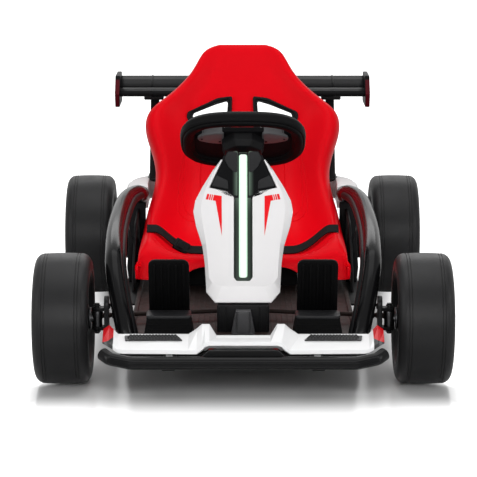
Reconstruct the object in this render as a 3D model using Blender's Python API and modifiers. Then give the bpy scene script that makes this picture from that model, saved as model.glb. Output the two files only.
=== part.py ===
"""Electric drift kart for a child: frame, wheels, steering, bucket seat, side guards and rear wing.

Metres, +Z up. The kart faces -Y, its left side is +X, and the ground is at Z = 0.
Lengths along the kart are mostly given as distances behind the front axle, through aft().
"""
import math

import bmesh
import bpy
from mathutils import Matrix, Vector
from mathutils.bvhtree import BVHTree

# Overall layout
OVERALL_WIDTH = 0.750
TYRE_WIDTH = 0.100
WHEELBASE = 0.760
FRONT_AXLE_Y = -0.350
FIT = 0.0003
WELD = 0.00001

# Half the room between the wheels, and how far that stretches the widths below, drawn for 0.275
ROOM = OVERALL_WIDTH / 2 - TYRE_WIDTH
SPREAD = ROOM / 0.275

# Wheels
FRONT_TYRE_RADIUS = 0.1187
REAR_TYRE_RADIUS = 0.1265
RIM_SHARE = 0.60
RIM_WALL = 0.004
RIM_INSET = 0.010
RIM_DISC = 0.006
HUB_RADIUS = 0.030
HUB_REACH = 0.005
HUB_NOSE = 0.004
DISC_INSET = 0.016
NUT_HEIGHT = 0.007
SPINDLE_RADIUS = 0.007
WHEEL_PLAY = 0.0008
WHEEL_STEPS = 28

# Frame
RAIL_X = 0.130 * SPREAD
RAIL_Z = 0.060
RAIL_RADIUS = 0.012
FRAME_FRONT = 0.165
RAIL_FRONT = 0.062
HORN_HEIGHT = 0.0075
FRAME_REAR = 0.120
OUTRIGGER_AHEAD = 0.050
GUARD_FOOT_X = 0.205 * SPREAD
SEAT_CROSS_AFT = 0.440
CROSS_SHARE = 0.9
POST_BEHIND = 0.045
HANGER_THICKNESS = 0.010
HOUSING_GAP = 0.007
HOUSING_WIDTH = 0.042

# Front axle and steering
BEAM_DEPTH = 0.024
BEAM_HEIGHT = 0.0150
YOKE_X = ROOM - 0.0315
YOKE_THICKNESS = 0.008
YOKE_TOP = 0.160
YOKE_DEPTH = 0.032
KINGPIN_X = ROOM - 0.010
KINGPIN_RADIUS = 0.004
EAR_THICKNESS = 0.006
BARREL_HEIGHT = 0.028
BARREL_RADIUS = 0.0095
STEER_ARM = 0.066
STEER_ARM_WIDTH = 0.007
TIE_ROD_Z = 0.108
TIE_ROD_RADIUS = 0.004
TIE_EYE_RADIUS = 0.008
TIE_EYE_HEIGHT = 0.009
PITMAN = 0.040
PITMAN_TONGUE = 0.008
COLUMN_TILT = math.radians(32)
COLUMN_RADIUS = 0.009
COLUMN_PLAY = 0.0006
STEERING_WHEEL_AFT = 0.250
STEERING_WHEEL_Z = 0.410
STEERING_HALF_WIDTH = 0.1055
STEERING_HALF_DEPTH = 0.0963
STEERING_SQUARENESS = 3.0
STEERING_SET_BACK = 0.005
STEERING_RIM_RADIUS = 0.0145
STEERING_STEPS = 36

# Floor and pedals
PAN_HALF_WIDTH = 0.2065 * SPREAD
PAN_NOTCH_HALF_WIDTH = 0.1865 * SPREAD
PAN_THICKNESS = 0.006
PAN_AHEAD = 0.072
PAN_LENGTH = 0.520
PAN_EDGE = 0.004
PEDAL_X = 0.1335 * SPREAD
PEDAL_WIDTH = 0.073 * SPREAD
PEDAL_TOP = 0.235
PEDAL_THICKNESS = 0.005
PEDAL_LEAN = 0.052
PEDAL_RIBS = 5
PEDAL_BOX_WIDTH = 0.097 * SPREAD
PEDAL_BOX_TOP = 0.137
PEDAL_BOX_FRONT = 0.062
PEDAL_BOX_DEPTH = 0.046

# Console
COVER_SLOPE = math.radians(59)
COVER_FOOT_AFT = -0.005
COVER_FOOT_Z = 0.1515
COVER_THICKNESS = 0.012
CONSOLE_DEPTH = 0.098
CONSOLE_BOTTOM = 0.160
CONSOLE_FOOT = 0.1435
CONSOLE_BASE_REAR = 0.048
CONSOLE_BASE_HALF_WIDTH = 0.0475
LED_HALF_WIDTH = 0.0076
LED_LOW = 0.0445
LED_HIGH = 0.2848

# Seat and battery
BATTERY_HALF_WIDTH = 0.100 * SPREAD
BATTERY_AFT = 0.400
BATTERY_LENGTH = 0.080
SEAT_WALL = 0.006
BELT_WIDTH = 0.022
BELT_THICKNESS = 0.0025
BELT_AFT = 0.418

# Side guards, rear deck and wing
GUARD_RADIUS = 0.0165
PANEL_X = 0.2140 * SPREAD
PANEL_THICKNESS = 0.005
DECK_TOP = 0.261
DECK_PAD = 0.245
DECK_BOTTOM = 0.212
DECK_FRONT_AFT = 0.600
DECK_REAR_AFT = 0.865
DECK_HALF_WIDTH = 0.243 * SPREAD
DECK_CUT_HALF_WIDTH = 0.197 * SPREAD
DECK_BACK_DEPTH = 0.135
STAY_X = 0.187 * SPREAD
STAY_THICKNESS = 0.010
WING_HALF_SPAN = 0.2765
WING_REAR_AFT = 0.915
ENDPLATE_THICKNESS = 0.004
ENDPLATE_LOW = 0.392
ENDPLATE_HIGH = 0.4645
ENDPLATE_CHORD = 0.115

# Nose
BUMPER_FRONT = 0.215
BUMPER_RADIUS = 0.0115
BUMPER_Z = 0.0870
FASCIA_WALL = 0.004
FASCIA_FRONT = 0.185
FASCIA_REAR = 0.128
FASCIA_BOSS_AHEAD = 0.140
FASCIA_BOSS_RADIUS = 0.006

# Derived places
WHEEL_X = (OVERALL_WIDTH - TYRE_WIDTH) / 2
REAR_AXLE_Y = FRONT_AXLE_Y + WHEELBASE
RAIL_TOP = RAIL_Z + RAIL_RADIUS
BEAM_BOTTOM = RAIL_TOP + FIT
PAN_BOTTOM = BEAM_BOTTOM + BEAM_HEIGHT + FIT
PAN_TOP = PAN_BOTTOM + PAN_THICKNESS
FLOOR_REST = PAN_TOP + FIT
COLUMN_FOOT_Z = TIE_ROD_Z + 0.002 + PITMAN * math.sin(COLUMN_TILT)
SIDES = (("left", 1), ("right", -1))


def aft(distance):
    """The Y of a place so far behind the front axle."""
    return FRONT_AXLE_Y + distance


COLUMN_FOOT_Y = aft(STEERING_WHEEL_AFT) - (STEERING_WHEEL_Z - COLUMN_FOOT_Z) * math.tan(COLUMN_TILT)


def clear_scene():
    for item in list(bpy.data.objects):
        bpy.data.objects.remove(item, do_unlink=True)


def new_collection(name):
    collection = bpy.data.collections.new(name)
    bpy.context.scene.collection.children.link(collection)
    return collection


def finish(name, colour, roughness, metallic=0.0):
    """A plain Principled finish."""
    material = bpy.data.materials.new(name)
    material.use_nodes = True
    shader = material.node_tree.nodes["Principled BSDF"]
    shader.inputs["Base Color"].default_value = (*colour, 1.0)
    shader.inputs["Roughness"].default_value = roughness
    shader.inputs["Metallic"].default_value = metallic
    return material


def place(name, mesh, material, matrix=None):
    """Put a mesh in the kart as a named piece."""
    piece = bpy.data.objects.new(name, mesh)
    if matrix is not None:
        piece.matrix_world = matrix
    mesh.materials.clear()
    if material is not None:
        mesh.materials.append(material)
    KART.objects.link(piece)
    return piece


def from_bmesh(name, shape, material, matrix=None):
    bmesh.ops.recalc_face_normals(shape, faces=shape.faces)
    mesh = bpy.data.meshes.new(name)
    shape.to_mesh(mesh)
    shape.free()
    return place(name, mesh, material, matrix)


def bake(piece):
    """Apply the modifiers of a piece."""
    bpy.context.view_layer.update()
    graph = bpy.context.evaluated_depsgraph_get()
    mesh = bpy.data.meshes.new_from_object(piece.evaluated_get(graph))
    piece.modifiers.clear()
    piece.data = mesh
    return piece


def unite(piece, others):
    """Join other solids into a piece."""
    for other in others:
        merge = piece.modifiers.new("Join", "BOOLEAN")
        merge.operation = "UNION"
        merge.object = other
        bake(piece)
        bpy.data.objects.remove(other, do_unlink=True)
    return piece


def cut(piece, cutters):
    """Take the shapes of the cutters out of a piece."""
    for cutter in cutters:
        carve = piece.modifiers.new("Cut", "BOOLEAN")
        carve.operation = "DIFFERENCE"
        carve.object = cutter
        bake(piece)
        bpy.data.objects.remove(cutter, do_unlink=True)
    return piece


def soften(piece, width, segments=2, angle=30):
    """Round the edges of a piece."""
    bevel = piece.modifiers.new("Round edges", "BEVEL")
    bevel.width = width
    bevel.segments = segments
    bevel.limit_method = "ANGLE"
    bevel.angle_limit = math.radians(angle)
    return bake(piece)


def smooth(piece, angle=35):
    piece.data.shade_smooth()
    piece.data.set_sharp_from_angle(angle=math.radians(angle))
    return piece


def block(name, low, high, material=None, edge=0.0):
    """A box between two corners, with rounded edges if asked."""
    centre = [(a + b) / 2 for a, b in zip(low, high)]
    size = [b - a for a, b in zip(low, high)]
    shape = bmesh.new()
    bmesh.ops.create_cube(shape, size=1.0, matrix=Matrix.Translation(centre) @ Matrix.Diagonal((*size, 1.0)))
    piece = from_bmesh(name, shape, material)
    return soften(piece, edge) if edge else piece


def rod(name, start, end, radius, material=None, sides=20, end_radius=None):
    """A round bar or cone between two points."""
    start, end = Vector(start), Vector(end)
    along = end - start
    turn = along.to_track_quat("Z", "Y").to_matrix().to_4x4()
    shape = bmesh.new()
    bmesh.ops.create_cone(
        shape, cap_ends=True, segments=sides, radius1=radius,
        radius2=radius if end_radius is None else end_radius, depth=along.length,
        matrix=Matrix.Translation((start + end) / 2) @ turn)
    return from_bmesh(name, shape, material)


def curve_mesh(name, curve, material, matrix=None):
    """Turn a curve into a welded mesh piece."""
    guide = bpy.data.objects.new(name + "_guide", curve)
    GUIDES.objects.link(guide)
    bpy.context.view_layer.update()
    graph = bpy.context.evaluated_depsgraph_get()
    mesh = bpy.data.meshes.new_from_object(guide.evaluated_get(graph))
    bpy.data.objects.remove(guide, do_unlink=True)
    shape = bmesh.new()
    shape.from_mesh(mesh)
    bmesh.ops.remove_doubles(shape, verts=shape.verts, dist=WELD)
    bmesh.ops.recalc_face_normals(shape, faces=shape.faces)
    shape.to_mesh(mesh)
    shape.free()
    return place(name, mesh, material, matrix)


def bent(points, bend, count=4):
    """A route whose corners are bent round instead of sharp."""
    route = [Vector(points[0])]
    for before, corner, after in zip(points, points[1:], points[2:]):
        here = Vector(corner)
        start = here + (Vector(before) - here).normalized() * bend
        end = here + (Vector(after) - here).normalized() * bend
        for step in range(count + 1):
            share = step / count
            route.append(start * (1 - share) ** 2 + here * 2 * share * (1 - share) + end * share ** 2)
    return route + [Vector(points[-1])]


def tube(name, route, radius, material=None, resolution=4):
    """A tube along a route of points, with flat capped ends."""
    curve = bpy.data.curves.new(name, "CURVE")
    curve.dimensions = "3D"
    curve.render_resolution_u = 0
    curve.bevel_depth = radius
    curve.bevel_resolution = resolution
    curve.use_fill_caps = True
    spline = curve.splines.new("POLY")
    spline.points.add(len(route) - 1)
    for knot, point in zip(spline.points, route):
        knot.co = (*point, 1.0)
    return curve_mesh(name, curve, material)


def flowing(points, count=3):
    """A smooth route through the points."""
    knots = [Vector(point) for point in points]
    knots = [2 * knots[0] - knots[1]] + knots + [2 * knots[-1] - knots[-2]]
    route = []
    for a, b, c, d in zip(knots, knots[1:], knots[2:], knots[3:]):
        for step in range(count):
            t = step / count
            route.append(0.5 * (2 * b + (c - a) * t + (2 * a - 5 * b + 4 * c - d) * t * t
                                + (3 * b - 3 * c + d - a) * t ** 3))
    return route + [knots[-2]]


def plate(name, outlines, thickness, matrix, material=None):
    """A flat plate with the given outline, and holes inside it; its middle plane is z = 0 of matrix."""
    curve = bpy.data.curves.new(name, "CURVE")
    curve.dimensions = "2D"
    curve.fill_mode = "BOTH"
    curve.extrude = thickness / 2
    curve.render_resolution_u = 0
    for outline in outlines:
        spline = curve.splines.new("POLY")
        spline.points.add(len(outline) - 1)
        spline.use_cyclic_u = True
        for knot, (across, up) in zip(spline.points, outline):
            knot.co = (across, up, 0.0, 1.0)
    return curve_mesh(name, curve, material, matrix)


def frame_at(origin, across, up):
    """A matrix whose first two axes lie in a plate's plane."""
    across, up = Vector(across).normalized(), Vector(up).normalized()
    out = across.cross(up)
    return Matrix.Translation(origin) @ Matrix((across, up, out)).transposed().to_4x4()


def side_view(x):
    """A plane across the kart at x, its axes along +Y and +Z."""
    return frame_at((x, 0, 0), (0, 1, 0), (0, 0, 1))


def arc(centre, radius, start, end, count):
    """Points round an arc, angles in degrees."""
    points = []
    for step in range(count + 1):
        angle = math.radians(start + (end - start) * step / count)
        points.append((centre[0] + radius * math.cos(angle), centre[1] + radius * math.sin(angle)))
    return points


def rounded(outline, radius, count=3):
    """An outline with its corners rounded."""
    result = []
    for index, corner in enumerate(outline):
        here = Vector(corner)
        before = (Vector(outline[index - 1]) - here).normalized()
        after = (Vector(outline[(index + 1) % len(outline)]) - here).normalized()
        for step in range(count + 1):
            share = step / count
            start, end = here + before * radius, here + after * radius
            point = start * (1 - share) ** 2 + here * 2 * share * (1 - share) + end * share ** 2
            result.append(tuple(point))
    return result


def both_halves(half):
    """An outline from its half at x >= 0, listed from its foot to its head."""
    return half + [(-across, up) for across, up in reversed(half) if across > 0]


def turned(name, profile, matrix, material, steps=WHEEL_STEPS):
    """A solid turned about its local Z from a closed (radius, height) profile."""
    mesh = bpy.data.meshes.new(name)
    shape = bmesh.new()
    knots = [shape.verts.new((radius, 0.0, height)) for radius, height in profile]
    for knot, following in zip(knots, knots[1:] + knots[:1]):
        if knot.co.x > 0 or following.co.x > 0:
            shape.edges.new((knot, following))
    shape.to_mesh(mesh)
    shape.free()
    piece = place(name, mesh, material, matrix)
    spin = piece.modifiers.new("Turn", "SCREW")
    spin.steps = steps
    spin.render_steps = steps
    spin.use_merge_vertices = True
    spin.merge_threshold = 0.0001
    bake(piece)
    shape = bmesh.new()
    shape.from_mesh(piece.data)
    bmesh.ops.remove_doubles(shape, verts=shape.verts, dist=WELD)
    bmesh.ops.recalc_face_normals(shape, faces=shape.faces)
    shape.to_mesh(piece.data)
    shape.free()
    return piece


def wheel_place(side, axle_y, radius):
    """A wheel's centre, its local Z pointing away from the kart."""
    return Matrix.Translation((side * WHEEL_X, axle_y, radius)) @ Matrix.Rotation(side * math.pi / 2, 4, "Y")


def tyre(name, side, axle_y, radius):
    """A slick tyre, its shoulders rounded."""
    half = TYRE_WIDTH / 2
    shoulder = 0.020
    seat = radius * RIM_SHARE
    flank = [(seat + FIT, half - RIM_INSET), (seat + 0.006, half - 0.004), (radius - 0.032, half)]
    crown = [(radius - shoulder - 0.001 + shoulder * math.sin(a), half - shoulder + shoulder * math.cos(a))
             for a in (math.radians(20), math.radians(65))]
    upper = flank + crown
    profile = upper + [(radius, 0.0)] + [(r, -z) for r, z in reversed(upper)]
    return turned(name, profile, wheel_place(side, axle_y, radius), FINISHES["rubber"])


def rim(name, side, axle_y, radius):
    """A dished rim: barrel, disc near its outer face and a long hub on the spindle."""
    half = TYRE_WIDTH / 2 - RIM_INSET
    outer = radius * RIM_SHARE
    inner = outer - RIM_WALL
    disc = half - DISC_INSET
    bore = SPINDLE_RADIUS + WHEEL_PLAY
    profile = [
        (outer, half), (outer, -half), (inner, -half), (inner, disc - RIM_DISC),
        (HUB_RADIUS, disc - RIM_DISC), (HUB_RADIUS - 0.006, -TYRE_WIDTH / 2 + HUB_REACH),
        (bore, -TYRE_WIDTH / 2 + HUB_REACH), (bore, disc + HUB_NOSE), (HUB_RADIUS - 0.008, disc + HUB_NOSE),
        (HUB_RADIUS, disc), (inner, disc), (inner, half)]
    piece = turned(name, profile, wheel_place(side, axle_y, radius), FINISHES["rim"])
    middle = (inner + HUB_RADIUS) / 2
    windows = []
    for turn in range(5):
        angle = turn * math.tau / 5 + math.pi / 2
        centre = piece.matrix_world @ Vector((middle * math.cos(angle), middle * math.sin(angle), disc))
        windows.append(rod("window", centre - Vector((0.02, 0, 0)), centre + Vector((0.02, 0, 0)), 0.013, sides=8))
    return cut(piece, windows)


def chassis_frame():
    """A welded ladder of round tubes with posts for the deck and hangers for the rear axle."""
    front, rear = aft(-RAIL_FRONT), REAR_AXLE_Y + FRAME_REAR
    ends = [rod("rail", (x, front, RAIL_Z), (x, rear, RAIL_Z), RAIL_RADIUS, sides=16) for x in (-RAIL_X, RAIL_X)]
    frame = rod("chassis_frame", (-GUARD_FOOT_X - 0.012, aft(-OUTRIGGER_AHEAD), RAIL_Z),
                (GUARD_FOOT_X + 0.012, aft(-OUTRIGGER_AHEAD), RAIL_Z), RAIL_RADIUS * CROSS_SHARE, FINISHES["frame"], 16)
    crosses = []
    for y in (aft(SEAT_CROSS_AFT), REAR_AXLE_Y + POST_BEHIND):
        crosses.append(rod("cross", (-RAIL_X, y, RAIL_Z), (RAIL_X, y, RAIL_Z), RAIL_RADIUS * CROSS_SHARE, sides=16))
    posts, hangers, bores, feet = [], [], [], []
    for _, side in SIDES:
        x = side * RAIL_X
        low, high = (x - 0.011, aft(-FRAME_FRONT), RAIL_TOP - HORN_HEIGHT), (x + 0.011, front + 0.02, RAIL_TOP)
        posts.append(block("horn", low, high))
        post_y = REAR_AXLE_Y + POST_BEHIND
        posts.append(rod("post", (x, post_y, RAIL_Z), (x, post_y, DECK_BOTTOM - FIT), RAIL_RADIUS * 0.85, sides=14))
        hangers.append(block("hanger", (x - HANGER_THICKNESS / 2, REAR_AXLE_Y - 0.022, RAIL_Z),
                             (x + HANGER_THICKNESS / 2, REAR_AXLE_Y + 0.022, REAR_TYRE_RADIUS + 0.020)))
        bores.append(rod("bore", (x - 0.03, REAR_AXLE_Y, REAR_TYRE_RADIUS),
                         (x + 0.03, REAR_AXLE_Y, REAR_TYRE_RADIUS), SPINDLE_RADIUS + FIT, sides=20))
        foot = side * GUARD_FOOT_X
        feet.append(rod("foot", (foot, aft(-OUTRIGGER_AHEAD), RAIL_Z), (foot, aft(-OUTRIGGER_AHEAD), RAIL_TOP),
                        GUARD_RADIUS, sides=16))
    unite(frame, ends + crosses + posts + hangers + feet)
    return cut(frame, bores)


def hub_face():
    """How far out the nose of a wheel's hub reaches."""
    return WHEEL_X + TYRE_WIDTH / 2 - RIM_INSET - DISC_INSET + HUB_NOSE


def rear_axle():
    """A solid axle with a nut at each end."""
    shaft = SPINDLE_RADIUS
    nut = hub_face() + WHEEL_PLAY
    reach = nut + NUT_HEIGHT
    axle = rod("rear_axle", (-reach, REAR_AXLE_Y, REAR_TYRE_RADIUS), (reach, REAR_AXLE_Y, REAR_TYRE_RADIUS),
               shaft, FINISHES["steel"], 20)
    nuts = [rod("nut", (side * nut, REAR_AXLE_Y, REAR_TYRE_RADIUS), (side * reach, REAR_AXLE_Y, REAR_TYRE_RADIUS),
                shaft + 0.005, sides=6) for _, side in SIDES]
    return unite(axle, nuts)


def drive_housing(name, side):
    """A gear case on the rear axle, its motor in front of it."""
    outer = side * (ROOM - HOUSING_GAP)
    inner = outer - side * HOUSING_WIDTH
    axle = (REAR_AXLE_Y, REAR_TYRE_RADIUS)
    motor = (REAR_AXLE_Y - 0.072, REAR_TYRE_RADIUS - 0.012)
    outline = arc(axle, 0.040, -75, 85, 8) + arc(motor, 0.026, 105, 255, 6)
    middle = side_view(inner + (outer - inner) * 0.7)
    case = plate(name, [outline], abs(outer - inner) * 0.6, middle, FINISHES["plastic"])
    can = rod("motor", (inner, *motor), (outer - side * 0.012, *motor), 0.021, sides=20)
    bore = rod("bore", (0.5 * inner, *axle), (1.2 * outer, *axle), SPINDLE_RADIUS + FIT, sides=20)
    return cut(unite(case, [can]), [bore])


def front_axle_beam():
    """A flat beam on the rails with an upright yoke and kingpin at each end."""
    y = FRONT_AXLE_Y
    top = BEAM_BOTTOM + BEAM_HEIGHT
    beam = block("front_axle_beam", (-YOKE_X - 0.002, y - BEAM_DEPTH / 2, BEAM_BOTTOM),
                 (YOKE_X + 0.002, y + BEAM_DEPTH / 2, top), FINISHES["frame"])
    half = BARREL_HEIGHT / 2 + WHEEL_PLAY
    parts = []
    for _, side in SIDES:
        middle = side * (YOKE_X + YOKE_THICKNESS / 2)
        radius = YOKE_DEPTH / 2
        outline = [(y - radius, BEAM_BOTTOM), (y + radius, BEAM_BOTTOM)] + arc(
            (y, YOKE_TOP - radius), radius, 0, 180, 10)
        parts.append(plate("yoke", [outline], YOKE_THICKNESS, side_view(middle)))
        x = side * KINGPIN_X
        inner = side * (YOKE_X + YOKE_THICKNESS / 2)
        for sign in (1, -1):
            near = FRONT_TYRE_RADIUS + sign * half
            far = near + sign * EAR_THICKNESS
            low, high = min(near, far), max(near, far)
            corners = (min(inner, x), y - BARREL_RADIUS, low), (max(inner, x), y + BARREL_RADIUS, high)
            parts.append(block("ear", *corners))
            parts.append(rod("ear_end", (x, y, low), (x, y, high), BARREL_RADIUS, sides=20))
        reach = half + EAR_THICKNESS + 0.003
        parts.append(rod("kingpin", (x, y, FRONT_TYRE_RADIUS - reach), (x, y, FRONT_TYRE_RADIUS + reach),
                         KINGPIN_RADIUS, sides=16))
    return unite(beam, parts)


def knuckle(name, side):
    """A kingpin barrel with the wheel spindle outward and a steering arm to the rear."""
    x, y, z = side * KINGPIN_X, FRONT_AXLE_Y, FRONT_TYRE_RADIUS
    low, high = z - BARREL_HEIGHT / 2, z + BARREL_HEIGHT / 2
    flange = KINGPIN_X + BARREL_RADIUS + 0.001
    nut_face = hub_face() + WHEEL_PLAY
    tip = nut_face + NUT_HEIGHT
    barrel = rod(name, (x, y, low), (x, y, high), BARREL_RADIUS, FINISHES["steel"], 20)
    arm_low = TIE_ROD_Z + TIE_EYE_HEIGHT / 2 + FIT
    spindle = rod("spindle", (x + side * 0.005, y, z), (side * tip, y, z), SPINDLE_RADIUS, sides=20)
    collar = rod("collar", (side * flange, y, z), (side * (flange + 0.0035), y, z), 0.020, sides=20)
    nut = rod("nut", (side * nut_face, y, z), (side * tip, y, z), SPINDLE_RADIUS + 0.005, sides=6)
    arm = block("arm", (x - STEER_ARM_WIDTH / 2, y + KINGPIN_RADIUS + 0.002, arm_low),
                (x + STEER_ARM_WIDTH / 2, y + STEER_ARM, arm_low + 0.008))
    arm_end = Vector((x, y + STEER_ARM, arm_low))
    eye = rod("eye", arm_end, arm_end + Vector((0, 0, 0.008)), TIE_EYE_RADIUS * 0.85, sides=16)
    bore = rod("bore", (x, y, low - 0.02), (x, y, high + 0.02), KINGPIN_RADIUS + WHEEL_PLAY, sides=20)
    return cut(unite(barrel, [spindle, collar, nut, arm, eye]), [bore])


def tie_rod(name, side):
    """A rod from a steering arm in to the tip of the pitman arm."""
    outer = Vector((side * KINGPIN_X, FRONT_AXLE_Y + STEER_ARM, TIE_ROD_Z))
    tip = pitman_tip()
    inner = Vector((side * (PITMAN_TONGUE / 2 + 0.008), tip.y, TIE_ROD_Z))
    bar = rod(name, outer, inner, TIE_ROD_RADIUS, FINISHES["steel"], 12)
    up = Vector((0, 0, TIE_EYE_HEIGHT / 2))
    eye = rod("eye", outer - up, outer + up, TIE_EYE_RADIUS, sides=16)
    ball = rod("ball", inner - up, inner + up, TIE_ROD_RADIUS + 0.0015, sides=12)
    return unite(bar, [eye, ball])


def column_axis():
    return Vector((0, math.sin(COLUMN_TILT), math.cos(COLUMN_TILT)))


def column_foot():
    return Vector((0, COLUMN_FOOT_Y, COLUMN_FOOT_Z))


def pitman_tip():
    return column_foot() + PITMAN * Vector((0, math.cos(COLUMN_TILT), -math.sin(COLUMN_TILT)))


def steering_frame(along=0.0):
    """Local axes of the steering: Z up the column, Y towards the driver and down."""
    axis = column_axis()
    back = Vector((0, math.cos(COLUMN_TILT), -math.sin(COLUMN_TILT)))
    return frame_at(column_foot() + axis * along, (1, 0, 0), back)


def wheel_height():
    """How far the steering wheel's middle lies up the column from its foot."""
    return (STEERING_WHEEL_Z - COLUMN_FOOT_Z) / math.cos(COLUMN_TILT)


def steering_column():
    """The shaft with its pitman arm."""
    axis = column_axis()
    foot = column_foot()
    shaft = rod("steering_column", foot - axis * 0.005, foot + axis * (wheel_height() - 0.022), COLUMN_RADIUS,
                FINISHES["steel"], 20)
    half = PITMAN_TONGUE / 2
    outline = [(-0.012, -0.010), (0.012, -0.010), (0.012, 0.008), (half, 0.022), (half, PITMAN + 0.004),
               (-half, PITMAN + 0.004), (-half, 0.022), (-0.012, 0.008)]
    arm = plate("pitman", [outline], 0.006, steering_frame())
    return unite(shaft, [arm])


def steering_reach(angle):
    """How far the middle of the rim's tube lies from the wheel's middle."""
    across = (abs(math.cos(angle)) / STEERING_HALF_WIDTH) ** STEERING_SQUARENESS
    along = (abs(math.sin(angle)) / STEERING_HALF_DEPTH) ** STEERING_SQUARENESS
    return (across + along) ** (-1 / STEERING_SQUARENESS)


def steering_rim():
    """The padded rim of the steering wheel, a rounded rectangle."""
    middle = STEERING_HALF_WIDTH
    profile = arc((middle, 0.0), STEERING_RIM_RADIUS, 90, -225, 7)
    piece = turned("steering_rim", profile, steering_frame(wheel_height()), FINISHES["grip"], STEERING_STEPS)
    for corner in piece.data.vertices:
        across, along, _ = corner.co
        angle = math.atan2(along, across)
        radius = math.hypot(across, along) - middle + steering_reach(angle)
        corner.co.x = radius * math.cos(angle)
        corner.co.y = radius * math.sin(angle) + STEERING_SET_BACK
    return piece


def steering_hub():
    """Hub with a broad plate towards the driver and two spokes, which carry the rim."""
    middle = wheel_height()
    half = [(0.0, -0.030), (0.034, -0.028), (0.050, -0.024)]
    for degrees in range(-10, 91, 10):
        angle = math.radians(degrees)
        reach = steering_reach(angle) - STEERING_RIM_RADIUS - FIT
        half.append((reach * math.cos(angle) if degrees < 90 else 0.0, reach * math.sin(angle) + STEERING_SET_BACK))
    spokes = plate("steering_hub", [both_halves(half)], 0.010, steering_frame(middle), FINISHES["gloss"])
    axis = column_axis()
    low = column_foot() + axis * (middle - 0.034)
    boss = rod("boss", low, column_foot() + axis * (middle + 0.002), 0.022, sides=24, end_radius=0.036)
    bore = rod("bore", low - axis * 0.05, column_foot() + axis * (middle - 0.0217), COLUMN_RADIUS + FIT, sides=20)
    return cut(unite(spokes, [boss]), [bore])


def floor_pan():
    """A moulded foot tray with raised edges, on two ribs that sit on the rails."""
    front = aft(-PAN_AHEAD)
    rear = front + PAN_LENGTH
    wide, narrow = PAN_HALF_WIDTH, PAN_NOTCH_HALF_WIDTH
    notch = aft(-0.022)
    inside, stop = BATTERY_HALF_WIDTH + 0.004, aft(BATTERY_AFT) - 0.010
    outline = [(narrow, front), (narrow, notch - 0.006), (wide, notch), (wide, rear), (inside, rear), (inside, stop)]
    outline += [(-across, y) for across, y in reversed(outline)]
    middle = frame_at((0, 0, (PAN_BOTTOM + PAN_TOP) / 2), (1, 0, 0), (0, 1, 0))
    pan = plate("floor_pan", [outline], PAN_THICKNESS, middle, FINISHES["floor"])
    extras = []
    for _, side in SIDES:
        x = side * RAIL_X
        low, high = (x - 0.010, FRONT_AXLE_Y + BEAM_DEPTH, RAIL_TOP + FIT), (x + 0.010, stop - 0.01, PAN_TOP - 0.002)
        extras.append(block("rib", low, high))
        edge = side * (PAN_HALF_WIDTH - 0.004)
        extras.append(block("edge", (edge - 0.004, notch, PAN_BOTTOM), (edge + 0.004, rear, PAN_TOP + PAN_EDGE)))
    return unite(pan, extras)


def pedal(name, side):
    """A ribbed foot plate, its top leaning forward."""
    foot = Vector((side * PEDAL_X, aft(0.012), FLOOR_REST))
    up = Vector((0, -PEDAL_LEAN, PEDAL_TOP - FLOOR_REST))
    length = up.length
    half = PEDAL_WIDTH / 2
    board = frame_at(foot, (1, 0, 0), up)
    foot_edge = PEDAL_THICKNESS / 2 * PEDAL_LEAN / (PEDAL_TOP - FLOOR_REST)
    outline = [(-half, foot_edge), (half, foot_edge)] + arc((half - 0.012, length - 0.012), 0.012, 0, 90, 4) + arc(
        (-half + 0.012, length - 0.012), 0.012, 90, 180, 4)
    face = plate(name, [outline], PEDAL_THICKNESS, board, FINISHES["pedal"])
    ribs = []
    for index in range(PEDAL_RIBS):
        across = (index - (PEDAL_RIBS - 1) / 2) * PEDAL_WIDTH / (PEDAL_RIBS + 0.6)
        low, high = (across - 0.0015, PEDAL_BOX_TOP - FLOOR_REST, 0.0), (across + 0.0015, length - 0.008, 0.007)
        rib = block("rib", low, high)
        rib.matrix_world = board
        ribs.append(rib)
    return unite(face, ribs)


def pedal_box(name, side):
    """The box in front of a pedal's foot."""
    half = PEDAL_BOX_WIDTH / 2
    low, high = FLOOR_REST, PEDAL_BOX_TOP
    outline = rounded([(-half + 0.005, low), (half - 0.005, low), (half, high), (-half, high)], 0.008)
    view = frame_at((side * PEDAL_X, aft(-PEDAL_BOX_FRONT + PEDAL_BOX_DEPTH / 2), 0), (1, 0, 0), (0, 0, 1))
    return soften(plate(name, [outline], PEDAL_BOX_DEPTH, view, FINISHES["pedal"]), 0.002, 1, 60)


def cover_frame(depth=0.0):
    """Local axes of the console's sloped face: X across, Y up the slope; depth goes behind the face."""
    up = Vector((0, math.cos(COVER_SLOPE), math.sin(COVER_SLOPE)))
    behind = Vector((0, math.sin(COVER_SLOPE), -math.cos(COVER_SLOPE)))
    origin = Vector((0, aft(COVER_FOOT_AFT), COVER_FOOT_Z)) + behind * depth
    return frame_at(origin, (1, 0, 0), up)


# Half outline of the white cover on its sloped face: half width, distance up the slope
COVER_OUTLINE = (
    (0.0488, 0.0005), (0.0661, 0.0196), (0.0681, 0.0406), (0.0703, 0.0771), (0.0749, 0.1100), (0.0867, 0.1489),
    (0.0918, 0.1763), (0.0883, 0.1979), (0.0765, 0.2230), (0.0555, 0.2593), (0.0417, 0.2786), (0.0375, 0.2750),
    (0.0603, 0.2204), (0.0331, 0.2038), (0.0163, 0.1985), (0.0163, 0.0440), (0.0115, 0.0370))


def console_cover():
    """The white cover, a fork round the dark channel of the light strip."""
    half = list(COVER_OUTLINE)
    outline = half + [(-across, up) for across, up in reversed(half)]
    face = plate("console_cover", [outline], COVER_THICKNESS, cover_frame(COVER_THICKNESS / 2), FINISHES["white"])
    return soften(face, 0.003, 2, 40)


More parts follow.
